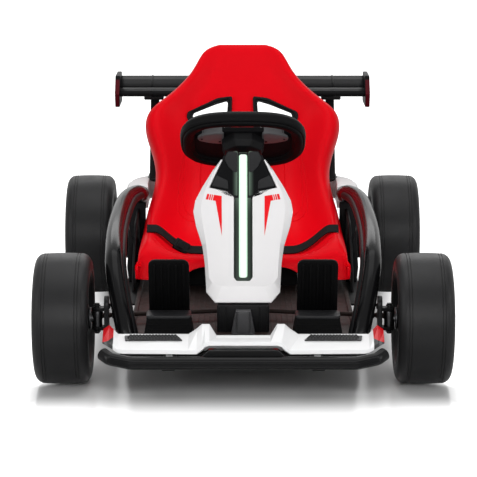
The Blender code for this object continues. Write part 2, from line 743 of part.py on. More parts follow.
def console_body():
    """The dark body behind the cover, bored for the steering column."""
    half = [(0.046, 0.0), (0.058, 0.04), (0.064, 0.12), (0.076, 0.17), (0.074, 0.20), (0.056, 0.235), (0.036, 0.290)]
    outline = half + [(-across, up) for across, up in reversed(half)]
    front = COVER_THICKNESS + FIT
    body = plate("console_body", [outline], CONSOLE_DEPTH - front, cover_frame((CONSOLE_DEPTH + front) / 2),
                 FINISHES["plastic"])
    crown_half = [(0.0158, 0.1990), (0.0328, 0.2046), (0.0590, 0.2208), (0.0360, 0.2760), (0.0300, 0.2900)]
    crown = plate("crown", [crown_half + [(-a, u) for a, u in reversed(crown_half)]], front + 0.002,
                  cover_frame(front / 2 + 0.001))
    below = block("below", (-0.2, aft(CONSOLE_BASE_REAR), 0.0), (0.2, aft(0.4), CONSOLE_BOTTOM))
    foot = block("foot", (-0.2, aft(-0.2), 0.0), (0.2, aft(0.4), CONSOLE_FOOT))
    axis = column_axis()
    bore = rod("bore", column_foot() - axis * 0.1, column_foot() + axis * 0.4, COLUMN_RADIUS + COLUMN_PLAY, sides=20)
    return cut(unite(body, [crown]), [below, foot, bore])


def led_strip():
    """The light strip down the middle of the cover."""
    middle = (LED_LOW + LED_HIGH) / 2
    half = (LED_HIGH - LED_LOW) / 2
    outline = [(-LED_HALF_WIDTH, middle - half), (LED_HALF_WIDTH, middle - half), (LED_HALF_WIDTH, middle + half),
               (-LED_HALF_WIDTH, middle + half)]
    return plate("led_strip", [outline], 0.0035, cover_frame(-0.0035 / 2 - FIT), FINISHES["light"])


def console_base():
    """The grey block on the floor under the console, with a recess in its front."""
    wide = CONSOLE_BASE_HALF_WIDTH
    base = block("console_base", (-wide, aft(-0.005), FLOOR_REST), (wide, aft(CONSOLE_BASE_REAR), CONSOLE_FOOT - FIT),
                 FINISHES["base"], 0.004)
    nose = block("nose", (-0.024, aft(-0.028), FLOOR_REST), (0.024, aft(0.010), 0.136))
    recess = block("recess", (-0.014, aft(-0.040), FLOOR_REST + 0.008), (0.014, aft(-0.020), 0.128), edge=0.005)
    return cut(unite(base, [nose]), [recess])


# Seat sections from the head down to the front skirt: distance aft, height, lean of the section's normal
# from -Y towards +Z in degrees, half width, height of the bolster's crest and of its outer edge.
SEAT_SECTIONS = (
    (0.772, 0.534, 25, 0.053, 0.000, -0.020),
    (0.764, 0.522, 18, 0.082, 0.004, -0.022),
    (0.750, 0.480, 15, 0.1035, 0.011, -0.024),
    (0.730, 0.432, 18, 0.154, 0.020, -0.024),
    (0.716, 0.400, 22, 0.205, 0.030, -0.024),
    (0.698, 0.358, 25, 0.208, 0.040, -0.020),
    (0.676, 0.312, 27, 0.187, 0.040, -0.018),
    (0.644, 0.262, 32, 0.178, 0.038, -0.016),
    (0.592, 0.202, 42, 0.198, 0.050, -0.018),
    (0.535, 0.162, 64, 0.205, 0.058, -0.020),
    (0.460, 0.147, 86, 0.208, 0.056, -0.023),
    (0.385, 0.151, 95, 0.209, 0.046, -0.028),
    (0.350, 0.165, 112, 0.207, 0.026, -0.030),
    (0.328, 0.165, 152, 0.205, 0.012, -0.020),
    (0.321, 0.128, 180, 0.204, 0.000, -0.008),
)
# Across a section: share of the half width, of the crest's height and of the edge's height, and how high the
# front skirt's lower edge is there, with a notch in its middle
SEAT_COLUMNS = (
    (0.00, 0.00, 0.0, 0.148), (0.38, 0.01, 0.0, 0.148), (0.55, 0.02, 0.0, 0.126), (0.72, 0.38, 0.0, 0.1205),
    (0.86, 1.00, 0.0, 0.120), (0.95, 0.85, 0.0, 0.120), (1.00, 0.35, 0.2, 0.121), (1.00, 0.00, 1.0, 0.124))


def seat_point(section, column, side):
    distance, height, lean, half, crest, edge = section
    share, of_crest, of_edge, skirt = column
    angle = math.radians(lean)
    rise = crest * of_crest + edge * of_edge
    level = skirt if section == SEAT_SECTIONS[-1] else height + math.sin(angle) * rise
    return Vector((side * share * half * SPREAD, aft(distance) - math.cos(angle) * rise, level))


def seat_shell():
    """A one-piece moulded bucket seat with two belt slots."""
    shape = bmesh.new()
    rows = []
    columns = [(c, -1) for c in reversed(SEAT_COLUMNS[1:])] + [(c, 1) for c in SEAT_COLUMNS]
    for section in SEAT_SECTIONS:
        rows.append([shape.verts.new(seat_point(section, column, side)) for column, side in columns])
    for upper, lower in zip(rows, rows[1:]):
        for a, b, c, d in zip(upper, upper[1:], lower[1:], lower):
            shape.faces.new((a, d, c, b))
    mesh = bpy.data.meshes.new("seat_shell")
    shape.to_mesh(mesh)
    shape.free()
    seat = place("seat_shell", mesh, FINISHES["seat"])
    fine = seat.modifiers.new("Soft form", "SUBSURF")
    fine.levels = 1
    fine.render_levels = 1
    wall = seat.modifiers.new("Wall", "SOLIDIFY")
    wall.thickness = SEAT_WALL
    wall.offset = -1.0
    bake(seat)
    cutters = [plate("slot", [slot_outline(side, 0.0)], 0.09, slot_frame()) for _, side in SIDES]
    return cut(seat, cutters)


def slot_frame():
    """The plane of the backrest at the belt slots."""
    high, low = SEAT_SECTIONS[3], SEAT_SECTIONS[5]
    up = Vector((0, high[0] - low[0], high[1] - low[1])).normalized()
    origin = Vector((0, aft((high[0] + low[0]) / 2), (high[1] + low[1]) / 2))
    return frame_at(origin, (1, 0, 0), up)


# A belt slot on the backrest's plane: across, up
SLOT_CORNERS = ((0.026, -0.040), (0.080, -0.040), (0.108, -0.026), (0.117, -0.010), (0.115, 0.001), (0.053, 0.0305),
                (0.0225, 0.035))


def slot_outline(side, inset):
    middle = Vector((0.064, -0.004))
    corners = []
    for across, up in SLOT_CORNERS:
        toward = middle - Vector((across, up))
        point = Vector((across, up)) + toward * (inset / toward.length)
        corners.append((side * point.x * SPREAD, point.y))
    return corners if side > 0 else list(reversed(corners))


def slot_trim(name, side):
    """A black ring that lines a belt slot."""
    return plate(name, [slot_outline(side, 0.0006), slot_outline(side, 0.006)], SEAT_WALL + 0.008, slot_frame(),
                 FINISHES["plastic"])


def surface_of(piece):
    bpy.context.view_layer.update()
    return BVHTree.FromObject(piece, bpy.context.evaluated_depsgraph_get())


def drop(surface, x, y):
    """The height of the surface under a place."""
    hit = surface.ray_cast(Vector((x, y, 0.4)), Vector((0, 0, -1)))
    return hit[0].z


def ribbon(name, points, width, thickness, material):
    """Flat webbing through the points, its width along Y."""
    shape = bmesh.new()
    knots = [shape.verts.new(point) for point in points]
    edges = [shape.edges.new(pair) for pair in zip(knots, knots[1:])]
    made = bmesh.ops.extrude_edge_only(shape, edges=edges)
    moved = [item for item in made["geom"] if isinstance(item, bmesh.types.BMVert)]
    bmesh.ops.translate(shape, verts=moved, vec=(0, width, 0))
    mesh = bpy.data.meshes.new(name)
    bmesh.ops.recalc_face_normals(shape, faces=shape.faces)
    shape.to_mesh(mesh)
    shape.free()
    strap = place(name, mesh, material)
    wall = strap.modifiers.new("Webbing", "SOLIDIFY")
    wall.thickness = thickness
    wall.offset = 0.0
    return bake(strap)


def lap_belt(name, side, seat, inner):
    """Half of the lap belt, lying on the seat."""
    surface = surface_of(seat)
    points = []
    count = 9
    outer = 0.186 * SPREAD
    for step in range(count + 1):
        x = side * (inner + (outer - inner) * step / count)
        heights = [drop(surface, x + shift, aft(BELT_AFT) + BELT_WIDTH * share)
                   for share in (0.0, 0.25, 0.5, 0.75, 1.0) for shift in (-0.008, -0.004, 0.0, 0.004, 0.008)]
        points.append((x, aft(BELT_AFT), max(heights) + BELT_THICKNESS / 2 + FIT))
    return ribbon(name, points, BELT_WIDTH, BELT_THICKNESS, FINISHES["webbing"])


# The side guard's middle line: half width, distance aft, height
GUARD_LINE = (
    (0.2050, -0.050, RAIL_TOP + FIT), (0.2125, -0.042, 0.1066), (0.2245, -0.010, 0.1550), (0.2341, 0.030, 0.2019),
    (0.2368, 0.070, 0.2263), (0.2398, 0.180, 0.2470), (0.2376, 0.320, 0.2590), (0.2310, 0.440, 0.2620),
    (0.2160, 0.530, 0.2560), (0.2120, 0.570, 0.2450), (0.2110, DECK_FRONT_AFT - FIT, 0.2425))


def side_guard(name, side):
    """A bent tube from the frame's outrigger up beside the pedals and back to the deck."""
    points = [(side * x * SPREAD, aft(y), z) for x, y, z in GUARD_LINE]
    guard = tube(name, flowing(points, 2), GUARD_RADIUS, FINISHES["tube"], 3)
    trims = [block("trim", (side * 0.21 - 0.1, aft(DECK_FRONT_AFT - FIT), 0.1), (side * 0.21 + 0.1, aft(0.7), 0.4)),
             block("trim", (side * 0.2 - 0.1, aft(-0.2), -0.1), (side * 0.2 + 0.1, aft(0.1), RAIL_TOP + FIT))]
    return cut(guard, trims)


def side_panel(name, side):
    """The dark panel beside the seat, under the guard."""
    low = RAIL_TOP + 0.004
    outline = [(aft(0.330), low), (aft(0.640), low), (aft(0.640), DECK_BOTTOM - FIT), (aft(0.560), DECK_BOTTOM - FIT),
               (aft(0.470), 0.205), (aft(0.360), 0.130)]
    x = side * (PANEL_X + PANEL_THICKNESS / 2)
    panel = plate(name, [rounded(outline, 0.012)], PANEL_THICKNESS, side_view(x), FINISHES["plastic"])
    foot, top, inner, outer = low + 0.014, DECK_BOTTOM + 0.0132, PANEL_X - 0.013, PANEL_X + 0.0235
    outline = [(side * across, up) for across, up in (
        (0.150 * SPREAD, foot), (outer - 0.009, foot), (outer - 0.009, 0.106), (outer, 0.189), (outer, top),
        (inner, top), (inner, 0.150), (0.150 * SPREAD, 0.150))]
    wall = plate("wall", [outline], 0.006, frame_at((0, aft(DECK_FRONT_AFT - 0.005), 0), (1, 0, 0), (0, 0, 1)))
    return unite(panel, [wall])


def battery_block(seat):
    """The battery, one plain block on a cross tube, which carries the seat."""
    wide, front, rear = BATTERY_HALF_WIDTH, aft(BATTERY_AFT), aft(BATTERY_AFT + BATTERY_LENGTH)
    foot = RAIL_Z + RAIL_RADIUS * CROSS_SHARE + FIT
    surface = surface_of(seat)
    tops = [surface.ray_cast(Vector((wide * across, front + (rear - front) * along, foot)), Vector((0, 0, 1)))[0].z
            for across in (-1.0, -0.5, 0.0, 0.5, 1.0) for along in (0.0, 0.25, 0.5, 0.75, 1.0)]
    return block("battery_block", (-wide, front, foot), (wide, rear, min(tops) - FIT), FINISHES["plastic"], 0.003)


def rear_deck():
    """The white rear body round the back of the seat, lower behind, with a flat pad for the wing uprights."""
    front, rear = aft(DECK_FRONT_AFT), aft(DECK_REAR_AFT)
    outline = [(front, DECK_BOTTOM), (rear, DECK_BOTTOM), (rear, DECK_PAD - 0.009), (aft(0.808), DECK_PAD),
               (aft(0.727), DECK_PAD), (aft(0.685), DECK_TOP), (front + 0.010, DECK_TOP), (front, DECK_TOP - 0.005)]
    deck = plate("rear_deck", [outline], 2 * DECK_HALF_WIDTH, side_view(0), FINISHES["white"])
    notch = block("notch", (-DECK_CUT_HALF_WIDTH, front - 0.02, DECK_BOTTOM - 0.02),
                  (DECK_CUT_HALF_WIDTH, rear - DECK_BACK_DEPTH, DECK_TOP + 0.02))
    return soften(cut(deck, [notch]), 0.004, 2)


def wing_stay(name, side):
    """An upright from the deck to the wing's under side."""
    foot = DECK_PAD + FIT
    outline = [(aft(0.735), foot), (aft(0.790), foot), (aft(0.875), 0.405), (aft(0.840), 0.405)]
    stay = plate(name, [outline], STAY_THICKNESS, side_view(side * STAY_X), FINISHES["plastic"])
    base = block("base", (side * STAY_X - 0.016, aft(0.728), foot), (side * STAY_X + 0.016, aft(0.800), foot + 0.006))
    cap = block("cap", (side * STAY_X - 0.018, aft(0.832), 0.400), (side * STAY_X + 0.018, aft(0.882), 0.4075))
    return unite(stay, [base, cap])


def wing_element(name, outline):
    """A wing element, the outline in side view."""
    half = WING_HALF_SPAN
    return plate(name, [outline], 2 * half, side_view(0), FINISHES["wing"])


def wing_main():
    foot = 0.4075 + FIT
    outline = [(aft(0.806), foot + 0.006), (aft(0.812), foot), (aft(0.884), foot), (aft(0.890), foot + 0.004),
               (aft(0.886), foot + 0.012), (aft(0.830), foot + 0.018), (aft(0.810), foot + 0.014)]
    return wing_element("wing_main", outline)


def wing_flap():
    outline = [(aft(0.842), 0.4260), (aft(0.847), 0.42445), (aft(0.860), 0.42310), (aft(0.911), 0.4520), (aft(0.913), 0.4570),
               (aft(0.905), 0.4585), (aft(0.866), 0.4400)]
    return wing_element("wing_flap", outline)


def endplate(name, side):
    """A plate on the end of the wing."""
    rear = aft(WING_REAR_AFT)
    front = rear - ENDPLATE_CHORD
    outline = [(front + 0.012, ENDPLATE_LOW), (rear - 0.004, ENDPLATE_LOW), (rear, ENDPLATE_LOW + 0.004),
               (rear, ENDPLATE_HIGH), (front + 0.030, ENDPLATE_HIGH - 0.004), (front, ENDPLATE_LOW + 0.030)]
    x = side * (WING_HALF_SPAN + FIT + ENDPLATE_THICKNESS / 2)
    return plate(name, [outline], ENDPLATE_THICKNESS, side_view(x), FINISHES["wing"])


def front_bumper():
    """A low bar across the nose, its ends swept up and back."""
    y = aft(-BUMPER_FRONT + BUMPER_RADIUS)
    half = [(0.195, 0.0, 0.0), (0.232, 0.014, 0.004), (0.244, 0.028, 0.009)]
    points = [(-x * SPREAD, y + back, BUMPER_Z + up) for x, back, up in reversed(half)]
    points += [(x * SPREAD, y + back, BUMPER_Z + up) for x, back, up in half]
    bar = tube("front_bumper", bent(points, 0.006, 2), BUMPER_RADIUS, FINISHES["tube"], 3)
    tabs = [block("tab", (side * RAIL_X - 0.011, y - 0.002, RAIL_TOP + FIT), (side * RAIL_X + 0.011, aft(-0.150), BUMPER_Z + 0.002))
            for _, side in SIDES]
    low, high = 0.083 * SPREAD, 0.060 * SPREAD
    filler = plate("filler", [[(-low, BUMPER_Z), (low, BUMPER_Z), (high, 0.1080), (-high, 0.1080)]], 0.020,
                   frame_at((0, y + 0.014, 0), (1, 0, 0), (0, 0, 1)))
    return unite(bar, tabs + [filler])


# The nose panel's stations: half width, front edge height, rear edge height, front edge set back
FASCIA_STATIONS = (
    (0.0000, 0.1136, 0.1189, 0.000), (0.0472, 0.1136, 0.1189, 0.000), (0.0593, 0.1136, 0.1393, 0.000),
    (0.0670, 0.1110, 0.1393, 0.000), (0.0725, 0.1050, 0.1393, 0.000), (0.0813, 0.0985, 0.1315, 0.000),
    (0.0960, 0.0985, 0.1213, 0.000), (0.2100, 0.0990, 0.1213, 0.002), (0.2194, 0.1000, 0.1213, 0.005),
    (0.2346, 0.1080, 0.1375, 0.013), (0.2455, 0.1120, 0.1300, 0.022))


def front_fascia():
    """The white nose panel, two humps and raised ends, hollow below."""
    shape = bmesh.new()
    rows = []
    stations = [(-x, f, r, s) for x, f, r, s in reversed(FASCIA_STATIONS[1:])] + list(FASCIA_STATIONS)
    rear = aft(-FASCIA_REAR)
    for x, front_z, rear_z, setback in stations:
        front = aft(-FASCIA_FRONT + setback)
        profile = [(front, front_z), (front + 0.003, front_z + 0.006), (rear - 0.012, rear_z - 0.003), (rear - 0.003, rear_z),
                   (rear, rear_z - 0.004), (rear, rear_z - 0.014)]
        rows.append([shape.verts.new((x * SPREAD, y, z)) for y, z in profile])
    for near, far in zip(rows, rows[1:]):
        for a, b, c, d in zip(near, near[1:], far[1:], far):
            shape.faces.new((a, d, c, b))
    mesh = bpy.data.meshes.new("front_fascia")
    shape.to_mesh(mesh)
    shape.free()
    panel = place("front_fascia", mesh, FINISHES["white"])
    wall = panel.modifiers.new("Wall", "SOLIDIFY")
    wall.thickness = FASCIA_WALL
    wall.offset = -1.0
    bake(panel)
    y = aft(-FASCIA_BOSS_AHEAD)
    bosses = [rod("boss", (side * RAIL_X, y, RAIL_TOP + FIT), (side * RAIL_X, y, 0.1165), FASCIA_BOSS_RADIUS, sides=12)
              for _, side in SIDES]
    return unite(panel, bosses)


def grille(name, side):
    """A dark mesh insert on the nose panel."""
    front = Vector((0, aft(-FASCIA_FRONT + 0.003), 0.0985 + 0.006))
    back = Vector((0, aft(-FASCIA_REAR) - 0.012, 0.1213 - 0.003))
    up = (back - front).normalized()
    out = Vector((0, up.z, -up.y)) * -1
    length = (back - front).length
    origin = front + out * (FIT + 0.0015)
    outline = [(side * across * SPREAD, length * share)
               for across, share in ((0.108, 0.42), (0.196, 0.42), (0.200, 0.95), (0.120, 0.95))]
    return plate(name, [outline], 0.003, frame_at(origin, (1, 0, 0), up), FINISHES["grille"])


def rear_bumper():
    """A bar behind the rear axle on the ends of the rails."""
    y = REAR_AXLE_Y + FRAME_REAR + FIT + 0.011
    points = [(across * SPREAD, y - ahead, z) for across, ahead, z in (
        (-0.205, 0.045, 0.072), (-0.185, 0.0, 0.066), (0.185, 0.0, 0.066), (0.205, 0.045, 0.072))]
    return tube("rear_bumper", bent(points, 0.025, 3), 0.011, FINISHES["tube"], 3)


def wheels():
    """All four wheels; each rim and its tyre turn as one."""
    for name, side in SIDES:
        rim("front_rim_" + name, side, FRONT_AXLE_Y, FRONT_TYRE_RADIUS)
        tyre("front_tyre_" + name, side, FRONT_AXLE_Y, FRONT_TYRE_RADIUS)
        rim("rear_rim_" + name, side, REAR_AXLE_Y, REAR_TYRE_RADIUS)
        tyre("rear_tyre_" + name, side, REAR_AXLE_Y, REAR_TYRE_RADIUS)


def build():
    chassis_frame()
    rear_axle()
    front_axle_beam()
    floor_pan()
    wheels()
    for name, side in SIDES:
        drive_housing("drive_housing_" + name, side)
        knuckle("knuckle_" + name, side)
        tie_rod("tie_rod_" + name, side)
        pedal("pedal_" + name, side)
        pedal_box("pedal_box_" + name, side)
        side_guard("side_guard_" + name, side)
        side_panel("side_panel_" + name, side)
        slot_trim("slot_trim_" + name, side)
        wing_stay("wing_stay_" + name, side)
        endplate("endplate_" + name, side)
        grille("grille_" + name, side)
    steering_column()
    steering_rim()
    steering_hub()
    console_cover()
    console_body()
    console_base()
    led_strip()
    seat = seat_shell()
    battery_block(seat)
    lap_belt("lap_belt_left", 1, seat, 0.040 * SPREAD)
    lap_belt("lap_belt_right", -1, seat, 0.040 * SPREAD)
    rear_deck()
    wing_main()
    wing_flap()
    front_bumper()
    front_fascia()
    rear_bumper()


clear_scene()
KART = new_collection("drift_kart")
GUIDES = new_collection("guides")
FINISHES = {
    "rubber": finish("tyre rubber", (0.018, 0.018, 0.019), 0.55),
    "rim": finish("rim plastic", (0.030, 0.030, 0.032), 0.40),
    "frame": finish("black steel tube", (0.022, 0.022, 0.024), 0.45, 0.3),
    "steel": finish("plated steel", (0.45, 0.45, 0.46), 0.35, 1.0),
    "tube": finish("gloss black tube", (0.020, 0.020, 0.022), 0.25),
    "plastic": finish("black plastic", (0.025, 0.025, 0.027), 0.50),
    "gloss": finish("gloss grey plastic", (0.050, 0.050, 0.055), 0.25),
    "grip": finish("steering grip", (0.020, 0.020, 0.021), 0.50),
    "floor": finish("dark floor", (0.040, 0.030, 0.028), 0.65),
    "pedal": finish("pedal plastic", (0.025, 0.025, 0.028), 0.60),
    "base": finish("grey plastic", (0.060, 0.060, 0.062), 0.50),
    "white": finish("white plastic", (0.85, 0.85, 0.85), 0.30),
    "seat": finish("red plastic", (0.75, 0.010, 0.015), 0.35),
    "light": finish("light strip", (0.70, 0.95, 0.80), 0.30),
    "webbing": finish("belt webbing", (0.020, 0.020, 0.022), 0.80),
    "wing": finish("wing plastic", (0.022, 0.022, 0.024), 0.40),
    "grille": finish("grille mesh", (0.030, 0.030, 0.032), 0.60),
}
build()
for part in KART.objects:
    smooth(part)
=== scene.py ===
"""A child's electric drift kart, dressed for its picture round the frame of solids.

Metres, +Z up; the nose points to -Y and the kart's left side is +X.
"""

from math import atan2, cos, hypot, pi, radians, sin

import bpy
from mathutils import Matrix, Vector
from mathutils.bvhtree import BVHTree


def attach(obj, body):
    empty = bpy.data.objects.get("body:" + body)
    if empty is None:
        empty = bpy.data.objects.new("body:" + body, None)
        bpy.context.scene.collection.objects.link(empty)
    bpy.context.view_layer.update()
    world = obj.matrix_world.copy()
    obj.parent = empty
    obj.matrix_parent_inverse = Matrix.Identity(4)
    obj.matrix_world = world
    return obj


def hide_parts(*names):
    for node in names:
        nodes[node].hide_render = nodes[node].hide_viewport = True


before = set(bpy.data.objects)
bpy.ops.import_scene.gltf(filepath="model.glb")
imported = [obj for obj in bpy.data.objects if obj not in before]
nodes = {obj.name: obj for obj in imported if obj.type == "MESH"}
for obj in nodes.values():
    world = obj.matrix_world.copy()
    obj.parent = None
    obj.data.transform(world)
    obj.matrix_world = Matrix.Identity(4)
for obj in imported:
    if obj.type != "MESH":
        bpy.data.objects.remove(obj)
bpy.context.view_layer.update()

# Studio: a pale floor that keeps the kart's soft shadow, darkened under the kart by painted shade, and a white
# surround, lit by large softboxes.
# The camera stands low in front of the nose, looks a little down, and is almost on the middle line.
CAMERA_PLACE = (-0.0085, -4.128, 1.014)
CAMERA_PITCH = radians(90 - 11.2)
CAMERA_LENS = 161.4
SOFTBOXES = (("overhead_softbox", (0.0, -0.1, 2.8), (0.0, 0.05, 0.2), (2.4, 2.4), 42),
             ("front_softbox", (0.0, -3.4, 1.2), (0.0, 0.0, 0.3), (3.2, 1.0), 62),
             ("left_softbox", (2.4, -1.4, 1.2), (0.0, 0.0, 0.25), (0.5, 2.0), 19),
             ("right_softbox", (-2.4, -1.4, 1.2), (0.0, 0.0, 0.25), (0.5, 2.0), 19),
             ("rear_softbox", (0.0, 2.4, 1.8), (0.0, 0.2, 0.3), (2.6, 0.8), 14))

camera = bpy.data.objects.new("camera", bpy.data.cameras.new("camera"))
camera.data.lens = CAMERA_LENS
camera.data.clip_end = 60
camera.location = CAMERA_PLACE
camera.rotation_euler = (CAMERA_PITCH, 0, 0)
bpy.context.scene.collection.objects.link(camera)
bpy.context.scene.camera = camera
bpy.context.scene.view_settings.view_transform = "Standard"

for name, place, aim, size, watts in SOFTBOXES:
    softbox = bpy.data.objects.new(name, bpy.data.lights.new(name, "AREA"))
    softbox.data.shape = "RECTANGLE"
    softbox.data.size, softbox.data.size_y = size
    softbox.data.energy = watts
    softbox.location = place
    softbox.rotation_euler = (Vector(aim) - Vector(place)).to_track_quat("-Z", "Y").to_euler()
    bpy.context.scene.collection.objects.link(softbox)


def feed(entry, value):
    """Set an input, or link a socket or a node's first output to it."""
    if isinstance(value, bpy.types.Node):
        value = value.outputs[0]
    if isinstance(value, bpy.types.NodeSocket):
        entry.id_data.links.new(value, entry)
    else:
        entry.default_value = value


def add_node(tree, kind, **settings):
    """A shader node; a setting is a property, or an input by its name with _ for a space or by its number."""
    node = tree.nodes.new("ShaderNode" + kind)
    for key, value in settings.items():
        if hasattr(node, key):
            setattr(node, key, value)
        else:
            feed(node.inputs[int(key[1:]) if key[1:].isdigit() else key.replace("_", " ")], value)
    return node


def maths(tree, operation, *values, **settings):
    """A Math node that works on the values."""
    for index, value in enumerate(values):
        settings[f"i{index}"] = value
    return add_node(tree, "Math", operation=operation, **settings)


def scaled(tree, colour, factor):
    """A colour made darker or lighter."""
    return add_node(tree, "VectorMath", operation="SCALE", i0=colour, Scale=factor)


def eased(tree, value, start, end, low, high, kind="SMOOTHSTEP"):
    """A soft change from low to high while the value goes from start to end."""
    return add_node(tree, "MapRange", interpolation_type=kind, i0=value, i1=start, i2=end, i3=low, i4=high)


def spot_axes(tree):
    """X, Y and Z of the place that is shaded."""
    return add_node(tree, "SeparateXYZ", i0=add_node(tree, "TexCoord").outputs["Object"]).outputs


def either_ray(tree, *rays):
    """One where a ray is any of the named kinds."""
    path = add_node(tree, "LightPath")
    result = path.outputs[rays[0]]
    for ray in rays[1:]:
        result = maths(tree, "MAXIMUM", result, path.outputs[ray])
    return result


world = bpy.data.worlds.new("white surround")
bpy.context.scene.world = world
world.use_nodes = True
tree = world.node_tree
lit = tree.nodes["Background"]
feed(lit.inputs["Color"], (1, 1, 1, 1))
feed(lit.inputs["Strength"], 0.22)
shown = add_node(tree, "Background", Color=(1, 1, 1, 1), Strength=1)
seen = either_ray(tree, "Is Camera Ray", "Is Glossy Ray", "Is Transmission Ray")
feed(tree.nodes["World Output"].inputs["Surface"], add_node(tree, "MixShader", i0=seen, i1=lit, i2=shown))

bpy.ops.mesh.primitive_plane_add(size=16, location=(0, 0, -0.0005))
floor = bpy.context.active_object
floor.name = "studio_floor"
paper = bpy.data.materials.new("pale floor paper with painted shade")
paper.use_nodes = True
tree = paper.node_tree
sheet = tree.nodes["Principled BSDF"]
x, y, _ = spot_axes(tree)
off_middle = maths(tree, "ABSOLUTE", x)
# Painted shade: the floor's colour falls from 0.8 at the sides to 0.42 under the kart's middle, painted shadow
# and reflection that darken the ground beneath it
feed(sheet.inputs["Base Color"], eased(tree, off_middle, 0.21, 0.28, 0.42, 0.8))
feed(sheet.inputs["Roughness"], 0.14)
feed(sheet.inputs["IOR"], 1.9)
# Only for the camera, the floor turns white beside, ahead of and behind the kart's shadow
past = maths(tree, "SUBTRACT", off_middle, eased(tree, y, -0.4, -0.32, 0.355, 0.27))
beside = eased(tree, past, 0, 0.07, 0, 0.95)
ahead = eased(tree, y, -0.44, -0.6, 0, 0.95)
behind = eased(tree, y, 0.45, 0.75, 0, 0.95)
most = maths(tree, "MAXIMUM", beside, maths(tree, "MAXIMUM", ahead, behind))
gain = maths(tree, "MULTIPLY", either_ray(tree, "Is Camera Ray"), most)
lift = add_node(tree, "Emission", Color=(1, 1, 1, 1), Strength=gain)
feed(tree.nodes["Material Output"].inputs["Surface"], add_node(tree, "AddShader", i0=sheet, i1=lift))
floor.data.materials.append(paper)

# Tyres: moulded black rubber, slick across the crown, with two fine rings beside each round shoulder and
# a stepped flank. Each is pressed onto its rim.
AXLE_Y = {"front": -0.35, "rear": 0.41}
TYRE_RADIUS = {"front": 0.1187, "rear": 0.1265}
TYRE_HALF = 0.05
WHEEL_X = 0.325
RIM_SHARE = 0.6
SHOULDER = 0.0175
SIDES = (("left", 1), ("right", -1))
MERGED = 0.00001


def aft(distance):
    """The Y of a place so far behind the front axle."""
    return AXLE_Y["front"] + distance


def only(piece):
    """Leave just this piece selected and active."""
    bpy.ops.object.select_all(action="DESELECT")
    piece.select_set(True)
    bpy.context.view_layer.objects.active = piece


def outward(merge=0, fill=False):
    """Finish the active mesh: doubles merged, open ends closed and faces turned outwards."""
    bpy.ops.object.mode_set(mode="EDIT")
    bpy.ops.mesh.select_all(action="SELECT")
    if merge:
        bpy.ops.mesh.remove_doubles(threshold=merge)
    if fill:
        bpy.ops.mesh.fill_holes(sides=0)
    bpy.ops.mesh.normals_make_consistent(inside=False)
    bpy.ops.object.mode_set(mode="OBJECT")


def settle(piece, place=None, angle=35):
    """Apply the modifiers, put the place into the mesh and smooth the soft edges."""
    only(piece)
    if place is not None:
        piece.matrix_world = place
    for modifier in list(piece.modifiers):
        bpy.ops.object.modifier_apply(modifier=modifier.name)
    bpy.ops.object.transform_apply(location=True, rotation=True, scale=True)
    bpy.ops.object.shade_smooth_by_angle(angle=radians(angle))
    return piece


def at(x, y, z):
    """A place without a turn."""
    return Matrix.Translation((x, y, z))


def placed(origin, across, up, out):
    """A place from its origin and its three axes."""
    return Matrix.Translation(origin) @ Matrix((across, up, out)).transposed().to_4x4()


def turned(name, rings, place=at(0, 0, 0), steps=96, closed=True, angle=35):
    """A turned shape: a first circle drawn out ring by ring of (radius, height), then closed or capped."""
    radius, height = rings[0]
    bpy.ops.mesh.primitive_circle_add(vertices=steps, radius=radius)
    piece = bpy.context.active_object
    piece.name = name
    bpy.ops.object.mode_set(mode="EDIT")
    bpy.ops.transform.translate(value=(0, 0, height))
    for wider, higher in rings[1:] + (rings[:1] if closed else []):
        bpy.ops.mesh.extrude_region_move(TRANSFORM_OT_translate={"value": (0, 0, higher - height)})
        bpy.ops.transform.resize(value=(wider / radius, wider / radius, 1), center_override=(0, 0, higher))
        radius, height = wider, higher
    outward(MERGED, not closed)
    return settle(piece, place, angle)


def dress(piece, material, slot, *stands_for, body="chassis"):
    """Give a piece its finish and its body, and hide the solids that it stands for; its slot argument is not
    used.
    """
    piece.data.materials.clear()
    piece.data.materials.append(material)
    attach(piece, body)
    if stands_for:
        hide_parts(*stands_for)
    return piece


def new_group(name, inputs, outputs):
    """An empty shader group, with the sockets that come in and those that go out."""
    group = bpy.data.node_groups.new(name, "ShaderNodeTree")
    for label, kind, value in inputs:
        group.interface.new_socket(label, in_out="INPUT", socket_type=kind).default_value = value
    for label, kind in outputs:
        group.interface.new_socket(label, in_out="OUTPUT", socket_type=kind)
    return group, group.nodes.new("NodeGroupInput").outputs, group.nodes.new("NodeGroupOutput").inputs


FLOAT, COLOUR = "NodeSocketFloat", "NodeSocketColor"

moulded_grain, entry, leave = new_group("moulded grain", [("Size", FLOAT, 900.0)], [("Height", FLOAT)])
where = add_node(moulded_grain, "TexCoord").outputs["Object"]
fine = add_node(moulded_grain, "TexNoise", Vector=where, Scale=entry["Size"], Detail=3, Roughness=0.6)
cells = add_node(moulded_grain, "TexVoronoi", Vector=where, Scale=entry["Size"])
feed(leave["Height"], maths(moulded_grain, "ADD", fine, cells))

handling, entry, leave = new_group("handling marks", [("Colour", COLOUR, (1, 1, 1, 1)),
                                                      ("Roughness", FLOAT, 0.5), ("Amount", FLOAT, 0.1)],
                                   [("Colour", COLOUR), ("Roughness", FLOAT)])
where = add_node(handling, "TexCoord").outputs["Object"]
broad = add_node(handling, "TexNoise", Vector=where, Scale=9, Detail=4)
small = add_node(handling, "TexNoise", Vector=where, Scale=70, Detail=3)
level = maths(handling, "SUBTRACT", maths(handling, "ADD", broad, small), 1)
swing = maths(handling, "MULTIPLY", level, entry["Amount"])
feed(leave["Colour"], scaled(handling, entry["Colour"], maths(handling, "MULTIPLY_ADD", swing, 0.9, 1)))
feed(leave["Roughness"], maths(handling, "ADD", entry["Roughness"], swing, use_clamp=True))


